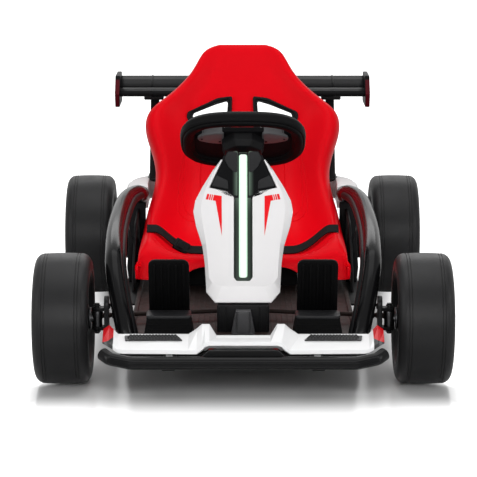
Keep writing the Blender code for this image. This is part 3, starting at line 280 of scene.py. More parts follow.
def finish(name, colour, roughness, marks=0.12, grain=900, depth=0.25, metallic=0, specular=0.5):
    """A Principled finish with handling marks in colour and gloss, and the mould's grain as its bump."""
    material = bpy.data.materials.new(name)
    material.use_nodes = True
    tree = material.node_tree
    touched = add_node(tree, "Group", node_tree=handling, Colour=(*colour, 1), Roughness=roughness,
                       Amount=marks)
    grained = add_node(tree, "Group", node_tree=moulded_grain, Size=grain)
    bump = add_node(tree, "Bump", Strength=depth, Distance=0.0004, Height=grained)
    for entry, value in (("Base Color", touched), ("Roughness", touched.outputs["Roughness"]), ("Normal", bump),
                         ("Metallic", metallic), ("Specular IOR Level", specular)):
        feed(tree.nodes["Principled BSDF"].inputs[entry], value)
    return material


def wheel_place(side, end):
    """A wheel's centre, its local Z pointing away from the kart."""
    return at(side * WHEEL_X, AXLE_Y[end], TYRE_RADIUS[end]) @ Matrix.Rotation(side * pi / 2, 4, "Y")


def tyre_rings(radius):
    """Half a tyre's section from its bead to the crown, and the same again mirrored."""
    bead = radius * RIM_SHARE
    half = [(bead + 0.0003, 0.04), (bead + 0.0024, 0.044), (bead + 0.006, 0.0462), (bead + 0.0066, 0.0474),
            (bead + 0.009, 0.0476), (bead + 0.0096, 0.049), (radius - 0.034, 0.0499), (radius - 0.033, 0.049),
            (radius - 0.031, 0.049), (radius - 0.03, 0.05), (radius - 0.024, 0.05)]
    corner = radius - SHOULDER - 0.0008
    for turn in (8, 20, 32, 44, 56, 68, 79):
        angle = radians(turn)
        half.append((corner + SHOULDER * sin(angle), TYRE_HALF - SHOULDER + SHOULDER * cos(angle)))
    for middle in (0.0318, 0.027):
        crown = radius - 0.0008 * (middle / 0.031) ** 2
        half += [(crown, middle + 0.0009), (crown - 0.0011, middle + 0.0005), (crown - 0.0011, middle - 0.0005),
                 (crown, middle - 0.0009)]
    half += [(radius - 0.0001, 0.013), (radius, 0.0)]
    return half + [(r, -z) for r, z in reversed(half[:-1])]


rubber = finish("tyre rubber", (0.008, 0.008, 0.0085), 0.42, marks=0.16, grain=1500, depth=0.18, specular=0.16)
for end in ("front", "rear"):
    for label, side in SIDES:
        tyre = turned(f"{end}_tyre_slick_{label}", tyre_rings(TYRE_RADIUS[end]), wheel_place(side, end), 128)
        dress(tyre, rubber, "tyre", f"{end}_tyre_{label}", body=f"{end}_wheel_{label}")

# Rims: black moulded plastic, a deep barrel with a dished disc near the outer face. Five rounded windows
# leave five spokes round the hub, which has a raised ring and five hex screws.
DISC_FACE = 0.024
WINDOW_RIM = 0.0672
# One window's corners for a rim of that inner radius: radius and degrees from its middle
WINDOW = ((0.0365, -20), (0.0365, 20), (0.0585, 23), (0.06, 12), (0.0604, 0), (0.06, -12), (0.0585, -23))


def face(name, outline, height):
    """A flat face with an outline."""
    bpy.ops.mesh.primitive_circle_add(vertices=len(outline), fill_type="NGON")
    piece = bpy.context.active_object
    piece.name = name
    for corner, spot in zip(piece.data.vertices, outline):
        corner.co = (*spot, height)
    return piece


def slab(name, outline, thickness, place=at(0, 0, 0), edge=0.001, segments=2, angle=40):
    """A plate cut to an outline, its edges rounded; its middle plane is z = 0 of place."""
    piece = face(name, outline, -thickness / 2)
    bpy.ops.object.mode_set(mode="EDIT")
    bpy.ops.mesh.select_all(action="SELECT")
    bpy.ops.mesh.extrude_region_move(TRANSFORM_OT_translate={"value": (0, 0, thickness)})
    outward()
    if edge:
        soften(piece, edge, segments, angle)
    return settle(piece, place)


def soften(piece, width, segments=2, angle=40):
    """A bevel on the sharper edges."""
    bevel = piece.modifiers.new("Rounded edges", "BEVEL")
    bevel.width = width
    bevel.segments = segments
    bevel.limit_method = "ANGLE"
    bevel.angle_limit = radians(angle)
    return piece


def oblong(left, low, right, high, corner=0):
    """The outline of a rectangle, its corners rounded where a radius is given."""
    outline = [(left, low), (right, low), (right, high), (left, high)]
    return rounded(outline, corner) if corner else outline


def sided(side, points):
    """An outline on the left or on the right."""
    return [(side * across, up) for across, up in points]


def rounded(outline, radius, count=4):
    """An outline with its corners rounded."""
    result = []
    for index, corner in enumerate(outline):
        here = Vector(corner)
        before, after = Vector(outline[index - 1]) - here, Vector(outline[(index + 1) % len(outline)]) - here
        reach = min(radius, before.length * 0.45, after.length * 0.45)
        start, end = here + before.normalized() * reach, here + after.normalized() * reach
        for step in range(count + 1):
            share = step / count
            result.append(tuple(start * (1 - share) ** 2 + here * 2 * share * (1 - share) + end * share ** 2))
    return result


def join(piece, others):
    """Put other meshes into a piece."""
    only(piece)
    for other in others:
        other.select_set(True)
    bpy.context.view_layer.objects.active = piece
    bpy.ops.object.join()
    return piece


def carve(piece, cutters):
    """Cut shapes out of a piece."""
    cutter = join(cutters[0], cutters[1:]) if len(cutters) > 1 else cutters[0]
    only(piece)
    boolean = piece.modifiers.new("Cut", "BOOLEAN")
    boolean.operation = "DIFFERENCE"
    boolean.object = cutter
    boolean.use_self = len(cutters) > 1
    bpy.ops.object.modifier_apply(modifier=boolean.name)
    bpy.data.objects.remove(cutter, do_unlink=True)
    return piece


def hex_screw(name, place, radius=0.004, height=0.003):
    """A hex head with a washer under it, standing on the plane of place."""
    washer = turned(name, [(radius * 1.25, 0.0), (radius * 1.3, height * 0.12), (radius * 1.3, height * 0.25),
                           (radius * 1.2, height * 0.33)], place, 20, closed=False)
    head = turned(name + "_head", [(radius, height * 0.3), (radius, height * 0.85), (radius * 0.86, height)],
                  place, 6, closed=False, angle=20)
    return join(washer, [head])


rim_black = finish("rim plastic", (0.008, 0.008, 0.0085), 0.38, grain=1100, depth=0.12, specular=0.15)
for end in ("front", "rear"):
    outer = TYRE_RADIUS[end] * RIM_SHARE
    inner = outer - 0.004
    rings = [(outer, 0.0395), (outer, -0.0395), (outer - 0.0006, -0.04), (inner + 0.0006, -0.04),
             (inner, -0.0394), (inner, 0.016), (inner - 0.0018, 0.018), (0.032, 0.018), (0.03, 0.0165),
             (0.0242, -0.044), (0.0232, -0.045), (0.0078, -0.045), (0.0078, 0.028), (0.02, 0.028),
             (0.0212, 0.0272), (0.0222, 0.025), (0.029, 0.0244), (0.03, DISC_FACE), (inner - 0.006, DISC_FACE),
             (inner - 0.003, 0.0252), (inner, 0.03), (inner, 0.0386), (inner + 0.0008, 0.0398),
             (outer - 0.0008, 0.04)]
    for label, side in SIDES:
        rim = turned(f"{end}_rim_spokes_{label}", rings, steps=120)
        windows = []
        for turn in range(5):
            outline = []
            for radius, degrees in WINDOW:
                angle = radians(degrees + 72 * turn + 90)
                radius = radius * inner / WINDOW_RIM
                outline.append((radius * cos(angle), radius * sin(angle)))
            windows.append(slab("window", rounded(outline, 0.004), 0.02, at(0, 0, 0.021), 0))
        carve(rim, windows)
        settle(soften(rim, 0.0008, 2, 60))
        screws = [hex_screw("screw", Matrix.Rotation(radians(72 * turn + 54), 4, "Z") @ at(0.0262, 0, 0.0244),
                            0.0026, 0.0024) for turn in range(5)]
        settle(join(rim, screws), wheel_place(side, end))
        dress(rim, rim_black, "rim", f"{end}_rim_{label}", body=f"{end}_wheel_{label}")

# Tube frame: round steel tube, welded and powder coated black, with two rails, cross tubes, posts for the
# rear deck and flat hangers for the axle. A weld bead runs round each joint.
RAIL_X, RAIL_Z, RAIL_RADIUS = 0.13, 0.06, 0.012


def refined(node, name, edge=0.0, segments=2, angle=40):
    """A copy of a solid, its loose triangles merged into faces and its corners rounded."""
    piece = nodes[node].copy()
    piece.data = nodes[node].data.copy()
    for key in list(piece.keys()):
        del piece[key]
    piece.parent = None
    piece.name = name
    bpy.context.scene.collection.objects.link(piece)
    only(piece)
    bpy.ops.object.mode_set(mode="EDIT")
    bpy.ops.mesh.select_all(action="SELECT")
    bpy.ops.mesh.remove_doubles(threshold=0.00002)
    bpy.ops.mesh.dissolve_limited(angle_limit=radians(0.5))
    bpy.ops.object.mode_set(mode="OBJECT")
    if piece.data.has_custom_normals:
        bpy.ops.mesh.customdata_custom_splitnormals_clear()
    if edge:
        soften(piece, edge, segments, angle)
    return settle(piece)


def pipe(name, route, radius, resolution=8):
    """A round tube along a route, with flat ends."""
    line = bpy.data.curves.new(name, "CURVE")
    line.dimensions = "3D"
    line.bevel_depth = radius
    line.bevel_resolution = resolution
    line.use_fill_caps = True
    spline = line.splines.new("POLY")
    spline.points.add(len(route) - 1)
    for knot, point in zip(spline.points, route):
        knot.co = (*point, 1)
    piece = bpy.data.objects.new(name, line)
    bpy.context.scene.collection.objects.link(piece)
    only(piece)
    bpy.ops.object.convert(target="MESH")
    outward(MERGED)
    return settle(bpy.context.active_object)


def facing(origin, out, up=(0, 0, 1)):
    """A place whose local Z points out."""
    out = Vector(out).normalized()
    across = Vector(up).cross(out).normalized()
    return placed(origin, across, out.cross(across), out)


def to_nose(y):
    """An upright plane so far behind the front axle, which faces the nose."""
    return facing((0, aft(y), 0), (0, -1, 0))


def weld_bead(centre, along, radius):
    """A rippled bead round a tube's joint."""
    rings = [(radius - 0.0004, -0.0022), (radius + 0.001, -0.0014), (radius + 0.0016, 0.0),
             (radius + 0.001, 0.0014), (radius - 0.0004, 0.0022)]
    return turned("bead", rings, facing(centre, along, (0.3, 0.8, 0.52)), 40)


powder_coat = finish("black powder coat", (0.006, 0.006, 0.0065), 0.34, marks=0.1, grain=420, depth=0.35,
                     specular=0.11)
frame_tubes = refined("chassis_frame", "frame_tubes")
beads = []
for _, side in SIDES:
    for y in (aft(-0.05), aft(0.44), 0.455):
        beads.append(weld_bead((side * (RAIL_X - RAIL_RADIUS), y, RAIL_Z), (1, 0, 0), 0.0108))
    beads.append(weld_bead((side * RAIL_X, 0.455, RAIL_Z + RAIL_RADIUS), (0, 0, 1), 0.0102))
    beads.append(weld_bead((side * (RAIL_X + RAIL_RADIUS), aft(-0.05), RAIL_Z), (1, 0, 0), 0.0108))
dress(join(frame_tubes, beads), powder_coat, "frame", "chassis_frame")

# Rear axle and drives: a blackened steel axle with a nut at each end. Each rear wheel has a black gear case in
# two screwed halves, with its motor can in front of it.
black_steel = finish("blackened steel", (0.045, 0.045, 0.047), 0.34, marks=0.14, grain=300, depth=0.1,
                     metallic=1)
case_black = finish("black moulded plastic", (0.006, 0.006, 0.0065), 0.45, specular=0.07)
dress(refined("rear_axle", "rear_axle_shaft", 0.0006, 2, 50), black_steel, "steel", "rear_axle")
for label, side in SIDES:
    case = refined(f"drive_housing_{label}", f"gear_case_{label}", 0.0016)
    extras = []
    for y, z in ((0.385, 0.095), (0.435, 0.095), (0.44, 0.155), (0.385, 0.16), (0.33, 0.13)):
        extras.append(hex_screw("screw", facing((side * 0.268, y, z), (side, 0, 0)), 0.0028, 0.0022))
    dress(join(case, extras), case_black, "plastic", f"drive_housing_{label}")

# Front axle: a flat black beam bolted onto the rails, with an upright yoke, two ears and a kingpin at each
# end. The knuckles are blackened steel; the tie rods are painted dark and have lock nuts.
KINGPIN_X = 0.265
beam = refined("front_axle_beam", "front_beam", 0.0008)
bolts = []
for _, side in SIDES:
    for y in (-0.006, 0.006):
        bolts.append(hex_screw("bolt", facing((side * (RAIL_X + 10 * y), AXLE_Y["front"], 0.0873), (0, 0, 1),
                                              (0, 1, 0)), 0.0045, 0.004))
    for y, z in ((-0.008, 0.145), (0.008, 0.145)):
        bolts.append(hex_screw("bolt", facing((side * 0.2435, AXLE_Y["front"] + y, z - 0.004), (-side, 0, 0)),
                               0.003, 0.003))
    for z, out in ((0.1421, 1), (0.0953, -1)):
        bolts.append(hex_screw("bolt", facing((side * KINGPIN_X, AXLE_Y["front"], z), (0, 0, out), (0, 1, 0)),
                               0.0052, 0.0045))
dress(join(beam, bolts), powder_coat, "frame", "front_axle_beam")
rod_paint = finish("dark rod paint", (0.024, 0.0165, 0.015), 0.5, grain=700, depth=0.12, specular=0.05)
for label, side in SIDES:
    knuckle = refined(f"knuckle_{label}", f"steering_knuckle_{label}", 0.0005, 2, 50)
    dress(knuckle, black_steel, "steel", f"knuckle_{label}", body=f"knuckle_{label}")
    rod = refined(f"tie_rod_{label}", f"track_rod_{label}", 0.0004, 2, 50)
    outer_end, inner_end = Vector((side * KINGPIN_X, aft(0.066), 0.108)), Vector((side * 0.012, -0.2552, 0.108))
    collars = []
    for share, radius in ((0.07, 0.0052), (0.1, 0.006), (0.9, 0.0058)):
        rings = [(radius * 0.9, -0.0025), (radius, -0.002), (radius, 0.002), (radius * 0.9, 0.0025)]
        place = facing(outer_end.lerp(inner_end, share), inner_end - outer_end)
        collars.append(turned("collar", rings, place, 6, closed=False, angle=20))
    dress(join(rod, collars), rod_paint, "steel", f"tie_rod_{label}", body=f"tie_rod_{label}")

# Steering: a shaft with its pitman arm, a fat foam rim, and a matt black spoke plate with satin grey panels
# screwed on. An eight-sided black shield in its middle faces the nose, and the whole wheel turns on the shaft.
COLUMN_TILT = radians(32)
STEERING_CENTRE = Vector((0, aft(0.25), 0.41))
STEERING_WIDE, STEERING_DEEP, STEERING_BACK, RIM_TUBE = 0.1055, 0.0963, 0.005, 0.0145
SPOKE_PANEL = ((0.036, -0.0445), (0.05, -0.045), (0.072, -0.038), (0.0865, -0.025), (0.085, -0.01),
               (0.062, 0.002), (0.036, 0.006))


def steering_place(along, turn=0.0):
    """Local axes of the steering wheel: Z up the shaft, Y towards the driver and down."""
    axis = Vector((0, sin(COLUMN_TILT), cos(COLUMN_TILT)))
    back = Vector((0, cos(COLUMN_TILT), -sin(COLUMN_TILT)))
    return placed(STEERING_CENTRE + axis * along, (1, 0, 0), back, axis) @ Matrix.Rotation(turn, 4, "Z")


def mirrored(half):
    """A whole outline from its half at x > 0."""
    return list(half) + [(-across, up) for across, up in reversed(half) if across > 0]


def steering_reach(angle):
    """How far the middle of the rim's tube lies from the wheel's middle, a rounded rectangle."""
    across = (abs(cos(angle)) / STEERING_WIDE) ** 3
    along = (abs(sin(angle)) / STEERING_DEEP) ** 3
    return (across + along) ** (-1 / 3)


grip_black = finish("grip foam", (0.0034, 0.0034, 0.0037), 0.52, grain=1300, specular=0.045)
spoke_grey = finish("satin grey plastic", (0.085, 0.085, 0.088), 0.3, grain=500, depth=0.08, specular=0.12)
hub_black = finish("matt black plastic", (0.0045, 0.0045, 0.005), 0.6, marks=0.14, specular=0.03)
dress(refined("steering_column", "steering_shaft", 0.0006, 2, 50), black_steel, "steel", "steering_column",
      body="steering")
section = []
for step in range(36):
    angle = radians(10 * step)
    radius = RIM_TUBE - (0.0012 if step in (23, 31) else 0.0)
    flat = 1.0 - 0.05 * cos(4 * angle + 0.4) ** 2
    section.append((STEERING_WIDE + radius * flat * cos(angle), radius * flat * sin(angle)))
grip = turned("steering_wheel_rim", section, steps=144, angle=24)
for corner in grip.data.vertices:
    angle = atan2(corner.co.y, corner.co.x)
    radius = hypot(corner.co.x, corner.co.y) - STEERING_WIDE + steering_reach(angle)
    corner.co.x, corner.co.y = radius * cos(angle), radius * sin(angle) + STEERING_BACK
dress(settle(grip, steering_place(0), 24), grip_black, "grip", "steering_rim", body="steering")
half = [(0.0, -0.045), (0.05, -0.044), (0.074, -0.036), (0.086, -0.026)]
for degrees in range(-8, 91, 7):
    angle = radians(degrees)
    reach = steering_reach(angle) - RIM_TUBE + 0.002
    half.append((reach * cos(angle) if degrees < 90 else 0.0, reach * sin(angle) + STEERING_BACK))
spokes = slab("steering_spokes", mirrored(half), 0.01, steering_place(0), 0.0015, 3)
dress(spokes, hub_black, "gloss", "steering_hub", body="steering")
for label, side in SIDES:
    inlay = slab(f"spoke_panel_{label}", rounded(sided(side, SPOKE_PANEL), 0.006), 0.015,
                 steering_place(-0.0015), 0.0045, 5, 30)
    dress(inlay, spoke_grey, "gloss", body="steering")
    for x, y in ((0.044, -0.006), (0.078, -0.018)):
        place = steering_place(-0.0088) @ at(side * x, y, 0) @ Matrix.Rotation(pi, 4, "X")
        dress(hex_screw(f"spoke_screw_{label}_{int(x * 1000)}", place, 0.002, 0.0016), black_steel, "steel",
              body="steering")
rings = [(0.024, -0.034), (0.037, -0.03), (0.043, -0.018), (0.0435, -0.006), (0.042, 0.007), (0.03, 0.009)]
shield = turned("steering_shield", rings, steering_place(0, pi / 8), 8, closed=False, angle=20)
settle(soften(shield, 0.0012, 3, 20), angle=24)
dress(shield, case_black, "plastic", body="steering")

# Foot tray: a moulded dark tray with raised edges and fine ridges against slipping, screwed down at its
# corners.
PAN_TOP = 0.0936
floor_brown = finish("dark floor mat", (0.018, 0.0118, 0.0105), 0.55, marks=0.22, grain=700, depth=0.4,
                     specular=0.15)
tray = refined("floor_pan", "foot_tray", 0.0012)
ridges = []
for step in range(-16, 17):
    if step:
        ridges.append(slab("ridge", oblong(-0.0016, aft(-0.06), 0.0016, aft(0.365)), 0.0016,
                           at(0.0104 * step, 0, PAN_TOP), 0.0006))
for _, side in SIDES:
    for y in (aft(-0.064), aft(0.15), aft(0.376)):
        ridges.append(hex_screw("screw", facing((side * 0.178, y, PAN_TOP), (0, 0, 1), (0, 1, 0)), 0.0034,
                                0.0028))
dress(join(tray, ridges), floor_brown, "floor", "floor_pan")

# Pedals: ribbed foot plates of black plastic, each with a box at its foot on the tray. The box is a ribbed
# moulding with a paler lip.
PEDAL_X = 0.1335
pedal_black = finish("pedal plastic", (0.0022, 0.0022, 0.0024), 0.5, marks=0.14, grain=800, depth=0.3,
                     specular=0.05)
# The lip on top of each box is a paler grey than the box itself
lip_grey = finish("paler grey lip plastic", (0.012, 0.012, 0.013), 0.42, marks=0.18, grain=700, specular=0.14)
for label, side in SIDES:
    plate = refined(f"pedal_{label}", f"foot_pedal_{label}", 0.0007)
    dress(plate, pedal_black, "pedal", f"pedal_{label}")
    box = refined(f"pedal_box_{label}", f"foot_box_{label}", 0.0, 2, 25)
    for corner in box.data.vertices:
        if corner.co.z > 0.118:
            corner.co.x = side * PEDAL_X + (corner.co.x - side * PEDAL_X) * 0.83
    settle(soften(box, 0.004, 4, 35), angle=30)
    seams = []
    for z in (0.104, 0.113, 0.122):
        seams.append(slab("rib", oblong(-0.04, -0.0009, 0.04, 0.0009, 0.0008), 0.0022,
                          facing((side * PEDAL_X, aft(-0.0622), z), (0, -1, 0)), 0.0006))
    dress(join(box, seams), pedal_black, "pedal", f"pedal_box_{label}")
    lip = slab(f"foot_box_lip_{label}", oblong(-0.04, -0.0245, 0.04, 0.0245, 0.007), 0.006,
               at(side * PEDAL_X, aft(-0.039), 0.1345), 0.0022, 3)
    dress(lip, lip_grey, "pedal")

# Console: a black body on a ribbed block with a grey tongue, and a faceted white cover in front. A light
# strip runs up its black channel between two dark wing panels, and red stripes are printed on the white.
COVER_SLOPE = radians(59)
LED_LOW, LED_HIGH, LED_HALF = 0.0445, 0.2848, 0.0076
# Half of the cover from its foot to its channel: the edge, then the raised face inside it
COVER = (((0.051, 0.0005), (0.0388, 0.0285)), ((0.0672, 0.0205), (0.056, 0.035)),
         ((0.0681, 0.0406), (0.0625, 0.045)), ((0.0703, 0.0771), (0.0645, 0.0778)),
         ((0.0749, 0.11), (0.068, 0.1122)), ((0.0867, 0.1489), (0.075, 0.153)),
         ((0.0918, 0.1763), (0.0775, 0.179)), ((0.0883, 0.1979), (0.0758, 0.1945)),
         ((0.0765, 0.223), (0.0702, 0.215)), ((0.0555, 0.2593), (0.0522, 0.255)),
         ((0.0417, 0.2786), (0.0403, 0.2762)), ((0.0375, 0.275), (0.0388, 0.2748)),
         ((0.061, 0.2215), (0.0628, 0.22)), ((0.029, 0.215), (0.0298, 0.2135)),
         ((0.021, 0.2075), (0.0215, 0.206)), ((0.0158, 0.205), (0.0173, 0.2035)),
         ((0.0158, 0.047), (0.0173, 0.046)), ((0.011, 0.04), (0.012, 0.0385)))
STRIPES = (((0.0661, 0.2078), (0.062, 0.2072), (0.0646, 0.1962), (0.0688, 0.1969)),
           ((0.0606, 0.207), (0.0583, 0.2066), (0.0609, 0.1957), (0.0633, 0.196)),
           ((0.0569, 0.2064), (0.055, 0.206), (0.0576, 0.1951), (0.0596, 0.1955)),
           ((0.0536, 0.2058), (0.0394, 0.2036), (0.039, 0.1255), (0.049, 0.184), (0.051, 0.194),
            (0.0562, 0.1949)))
WING = ((0.0104, 0.204), (0.015, 0.205), (0.0205, 0.2075), (0.0284, 0.215), (0.0604, 0.2215), (0.0366, 0.276),
        (0.029, 0.2925), (0.0104, 0.2925))
WING_FACETS = {"facet": ((0.027, 0.2165), (0.058, 0.2228), (0.05, 0.244), (0.028, 0.233)),
               "crown": ((0.0108, 0.25), (0.0175, 0.25), (0.0275, 0.261), (0.0345, 0.2765), (0.0285, 0.29),
                         (0.0108, 0.29))}


def cover_place(out=0.0):
    """The console's sloped face: X across, Y up the slope, Z out of it."""
    up = Vector((0, cos(COVER_SLOPE), sin(COVER_SLOPE)))
    normal = Vector((0, -sin(COVER_SLOPE), cos(COVER_SLOPE)))
    return placed(Vector((0, aft(-0.005), 0.1515)) + normal * out, (1, 0, 0), up, normal)


def stacked(name, layers, place, edge=0.0006):
    """A form drawn out layer by layer; every layer has as many corners: its outline and its height."""
    outline, height = layers[0]
    piece = face(name, outline, height)
    for following, higher in layers[1:]:
        bpy.ops.object.mode_set(mode="EDIT")
        bpy.ops.mesh.extrude_region_move(TRANSFORM_OT_translate={"value": (0, 0, higher - height)})
        bpy.ops.object.mode_set(mode="OBJECT")
        for corner in piece.data.vertices:
            if corner.select:
                here = corner.co.to_2d()
                nearest = min(range(len(outline)), key=lambda index: (Vector(outline[index]) - here).length)
                corner.co = (*following[nearest], higher)
        outline, height = following, higher
    outward()
    if edge:
        soften(piece, edge, 2, 12)
    return settle(piece, place, 14)


white_gloss = finish("white gloss plastic", (0.66, 0.65, 0.655), 0.25, marks=0.03, grain=350, depth=0.05,
                     specular=0.35)
stripe_red = finish("red stripe print", (0.66, 0.006, 0.01), 0.35, marks=0.05, grain=350, depth=0.05,
                    specular=0.15)
base_grey = finish("grey moulded plastic", (0.04, 0.04, 0.042), 0.42, marks=0.14, grain=700, specular=0.2)
facet_grey = finish("dark grey facet", (0.017, 0.017, 0.018), 0.4, grain=500, depth=0.1, specular=0.08)
glow_painted_black = finish("gloss black plastic with painted glow", (0.004, 0.004, 0.0045), 0.3, marks=0.1, grain=350,
                   depth=0.05, specular=0.04)
# Painted glow: within 22 mm of the middle line the black plastic gets a faint green emission, a painted spill
# of the light strip's glow, growing stronger between 0.29 m and 0.35 m up
tree = glow_painted_black.node_tree
x, _, z = spot_axes(tree)
painted_glow = eased(tree, maths(tree, "ABSOLUTE", x), 0.006, 0.022, 1, 0, "SMOOTHERSTEP")
painted_glow = maths(tree, "MULTIPLY", painted_glow, eased(tree, z, 0.29, 0.35, 0.28, 1))
shader = tree.nodes["Principled BSDF"].inputs
feed(shader["Emission Color"], scaled(tree, (0.14, 0.2, 0.155), painted_glow))
feed(shader["Emission Strength"], 1)
outer = [edge for edge, _ in COVER]
inner = [raised for _, raised in COVER]
cover = stacked("console_front_cover", [(mirrored(outer), -0.014), (mirrored(outer), -0.0095),
                                        (mirrored(inner), 0.0)], cover_place())
dress(cover, white_gloss, "white", "console_cover")
for label, side in SIDES:
    for index, corners in enumerate(STRIPES):
        stripe = slab(f"cover_stripe_{index + 1}_{label}", sided(side, corners), 0.0005, cover_place(0.0001), 0)
        dress(stripe, stripe_red, "seat")
    wing = slab(f"console_wing_{label}", rounded(sided(side, WING), 0.002), 0.006, cover_place(-0.0018), 0.0012,
                3)
    dress(wing, glow_painted_black, "gloss")
    for name, corners in WING_FACETS.items():
        raised = slab(f"console_wing_{name}_{label}", rounded(sided(side, corners), 0.003), 0.003,
                      cover_place(0.0016), 0.001, 3)
        dress(raised, facet_grey, "gloss")
body = refined("console_body", "console_housing", 0.0022, 3)
dress(body, case_black, "plastic", "console_body")
outline = [(-0.015, 0.0395), (0.015, 0.0395), (0.015, 0.208), (0.01, 0.29), (-0.01, 0.29), (-0.015, 0.208)]
channel = slab("light_channel", rounded(outline, 0.003), 0.01, cover_place(-0.0052), 0.0008)
dress(channel, glow_painted_black, "gloss")
block = slab("console_foot_block", oblong(-0.0475, aft(-0.005), 0.0475, aft(0.048), 0.004), 0.0493,
             at(0, 0, 0.1186), 0.0012)
ribs = [slab("rib", oblong(x - 0.0014, 0.0945, x + 0.0014, 0.142, 0.0008), 0.006, to_nose(-0.0055),
             0.0006) for x in (-0.043, -0.031, 0.031, 0.043)]
dress(join(block, ribs), case_black, "base", "console_base")
outline = [(-0.0215, 0.0945), (0.0215, 0.0945), (0.0135, 0.137), (-0.0135, 0.137)]
cap = slab("console_foot_cap", rounded(outline, 0.001), 0.02, to_nose(-0.0165), 0.001)
tongue = oblong(-0.0105, 0.0975, 0.0105, 0.136)
groove = [(x * 1.17, y - (0.0012 if y < 0.1 else 0)) for x, y in tongue]
carve(cap, [slab("groove", rounded(groove, 0.004, 6), 0.004, to_nose(-0.0265), 0)])
join(cap, [slab("tongue", rounded(tongue, 0.0035, 6), 0.005, to_nose(-0.0255), 0.0012, 3)])
dress(cap, base_grey, "base")

glow = bpy.data.materials.new("light strip lens")
glow.use_nodes = True
tree = glow.node_tree
off_middle = maths(tree, "ABSOLUTE", spot_axes(tree)["X"])
ramp = add_node(tree, "ValToRGB", Fac=maths(tree, "DIVIDE", off_middle, LED_HALF))
ends = ramp.color_ramp.elements
ends[0].position, ends[0].color = 0.3, (0.93, 1.0, 0.94, 1)
ends[1].position, ends[1].color = 0.98, (0.42, 0.82, 0.5, 1)
speckle = add_node(tree, "TexVoronoi", Vector=add_node(tree, "TexCoord").outputs["Object"], Scale=260)
shader = tree.nodes["Principled BSDF"].inputs
feed(shader["Base Color"], (0.25, 0.3, 0.26, 1))
feed(shader["Roughness"], 0.25)
feed(shader["Emission Color"], scaled(tree, ramp, maths(tree, "MULTIPLY_ADD", speckle, -0.12, 1)))
feed(shader["Emission Strength"], 0.92)
lens = slab("light_strip_lens", oblong(-LED_HALF, LED_LOW, LED_HALF, LED_HIGH, 0.0045), 0.0042,
            cover_place(0.0016), 0.0014, 3)
dress(lens, glow, "light", "led_strip")

# Seat: one moulded red bucket with a headrest, shoulder wings, deep bolsters and a skirt with a notch in
# its middle. Fine grooves are moulded in its face, and two slots in the backrest are lined with black.
SEAT_WALL = 0.006
# Distance aft, height, lean of the section, half width, height of the bolster's crest and of its edge
SEAT_SECTIONS = ((0.772, 0.534, 25, 0.053, 0.000, -0.02), (0.764, 0.5255, 18, 0.0865, 0.004, -0.022),
                 (0.75, 0.48, 15, 0.1035, 0.011, -0.024), (0.73, 0.432, 18, 0.154, 0.02, -0.024),
                 (0.716, 0.4, 22, 0.205, 0.03, -0.024), (0.698, 0.358, 25, 0.208, 0.04, -0.02),
                 (0.676, 0.312, 27, 0.187, 0.04, -0.018), (0.644, 0.262, 32, 0.178, 0.038, -0.016),
                 (0.592, 0.202, 42, 0.198, 0.05, -0.018), (0.535, 0.162, 64, 0.205, 0.058, -0.02),
                 (0.46, 0.147, 86, 0.208, 0.056, -0.023), (0.385, 0.151, 95, 0.209, 0.046, -0.028),
                 (0.35, 0.165, 112, 0.207, 0.026, -0.03), (0.328, 0.165, 152, 0.205, 0.012, -0.02),
                 (0.321, 0.128, 180, 0.204, 0.000, -0.008))
# Across a section: share of the half width, of the crest's height and of the edge's, and the skirt's foot
SEAT_COLUMNS = ((0.00, 0.00, 0.0, 0.148), (0.36, 0.01, 0.0, 0.148), (0.5, 0.02, 0.0, 0.14),
                (0.58, 0.04, 0.0, 0.124), (0.72, 0.38, 0.0, 0.1205), (0.86, 1.00, 0.0, 0.12),
                (0.95, 0.85, 0.0, 0.12), (1.00, 0.35, 0.2, 0.121), (1.00, 0.00, 1.0, 0.124))
# Grooves in the seat's face at x > 0, as points near it: half width, distance aft, height
SEAT_GROOVES = (((0.1197, 0.62, 0.3311), (0.1227, 0.61, 0.3162), (0.1298, 0.6, 0.2826), (0.1335, 0.56, 0.2279),
                 (0.1292, 0.55, 0.2098), (0.1175, 0.54, 0.2), (0.106, 0.53, 0.1973), (0.0922, 0.53, 0.1964),
                 (0.04, 0.53, 0.1964), (0.0, 0.53, 0.1964)), ((0.1185, 0.62, 0.329), (0.1215, 0.6, 0.295),
    (0.1234, 0.57, 0.2407), (0.1192, 0.56, 0.2174), (0.1109, 0.55, 0.2085), (0.0969, 0.54, 0.2063),
    (0.04, 0.54, 0.2063), (0.0, 0.54, 0.2063)), ((0.0866, 0.62, 0.31), (0.0874, 0.6, 0.2649),
                                                 (0.087, 0.57, 0.2218)),
                ((0.1758, 0.385, 0.1925), (0.1416, 0.385, 0.1627), (0.0791, 0.385, 0.156),
                 (0.0, 0.385, 0.1555)))
SLOT = ((0.026, -0.04), (0.08, -0.04), (0.108, -0.026), (0.117, -0.01), (0.115, 0.001), (0.053, 0.0305),
        (0.0225, 0.035))


def sheet_through(name, rows):
    """A sheet whose rows of corners are given."""
    bpy.ops.mesh.primitive_grid_add(x_subdivisions=len(rows[0]) - 1, y_subdivisions=len(rows) - 1)
    piece = bpy.context.active_object
    piece.name = name
    for corner, spot in zip(piece.data.vertices, [spot for row in rows for spot in row]):
        corner.co = spot
    outward()
    return piece


def surface_of(piece):
    """A search tree of a finished piece's surface."""
    bpy.context.view_layer.update()
    return BVHTree.FromObject(piece, bpy.context.evaluated_depsgraph_get())


def seen_on(surface, point):
    """Where the surface lies behind a point, seen from the front."""
    origin = Vector(CAMERA_PLACE)
    hit = surface.ray_cast(origin, (Vector(point) - origin).normalized())[0]
    return hit if hit else Vector(point)


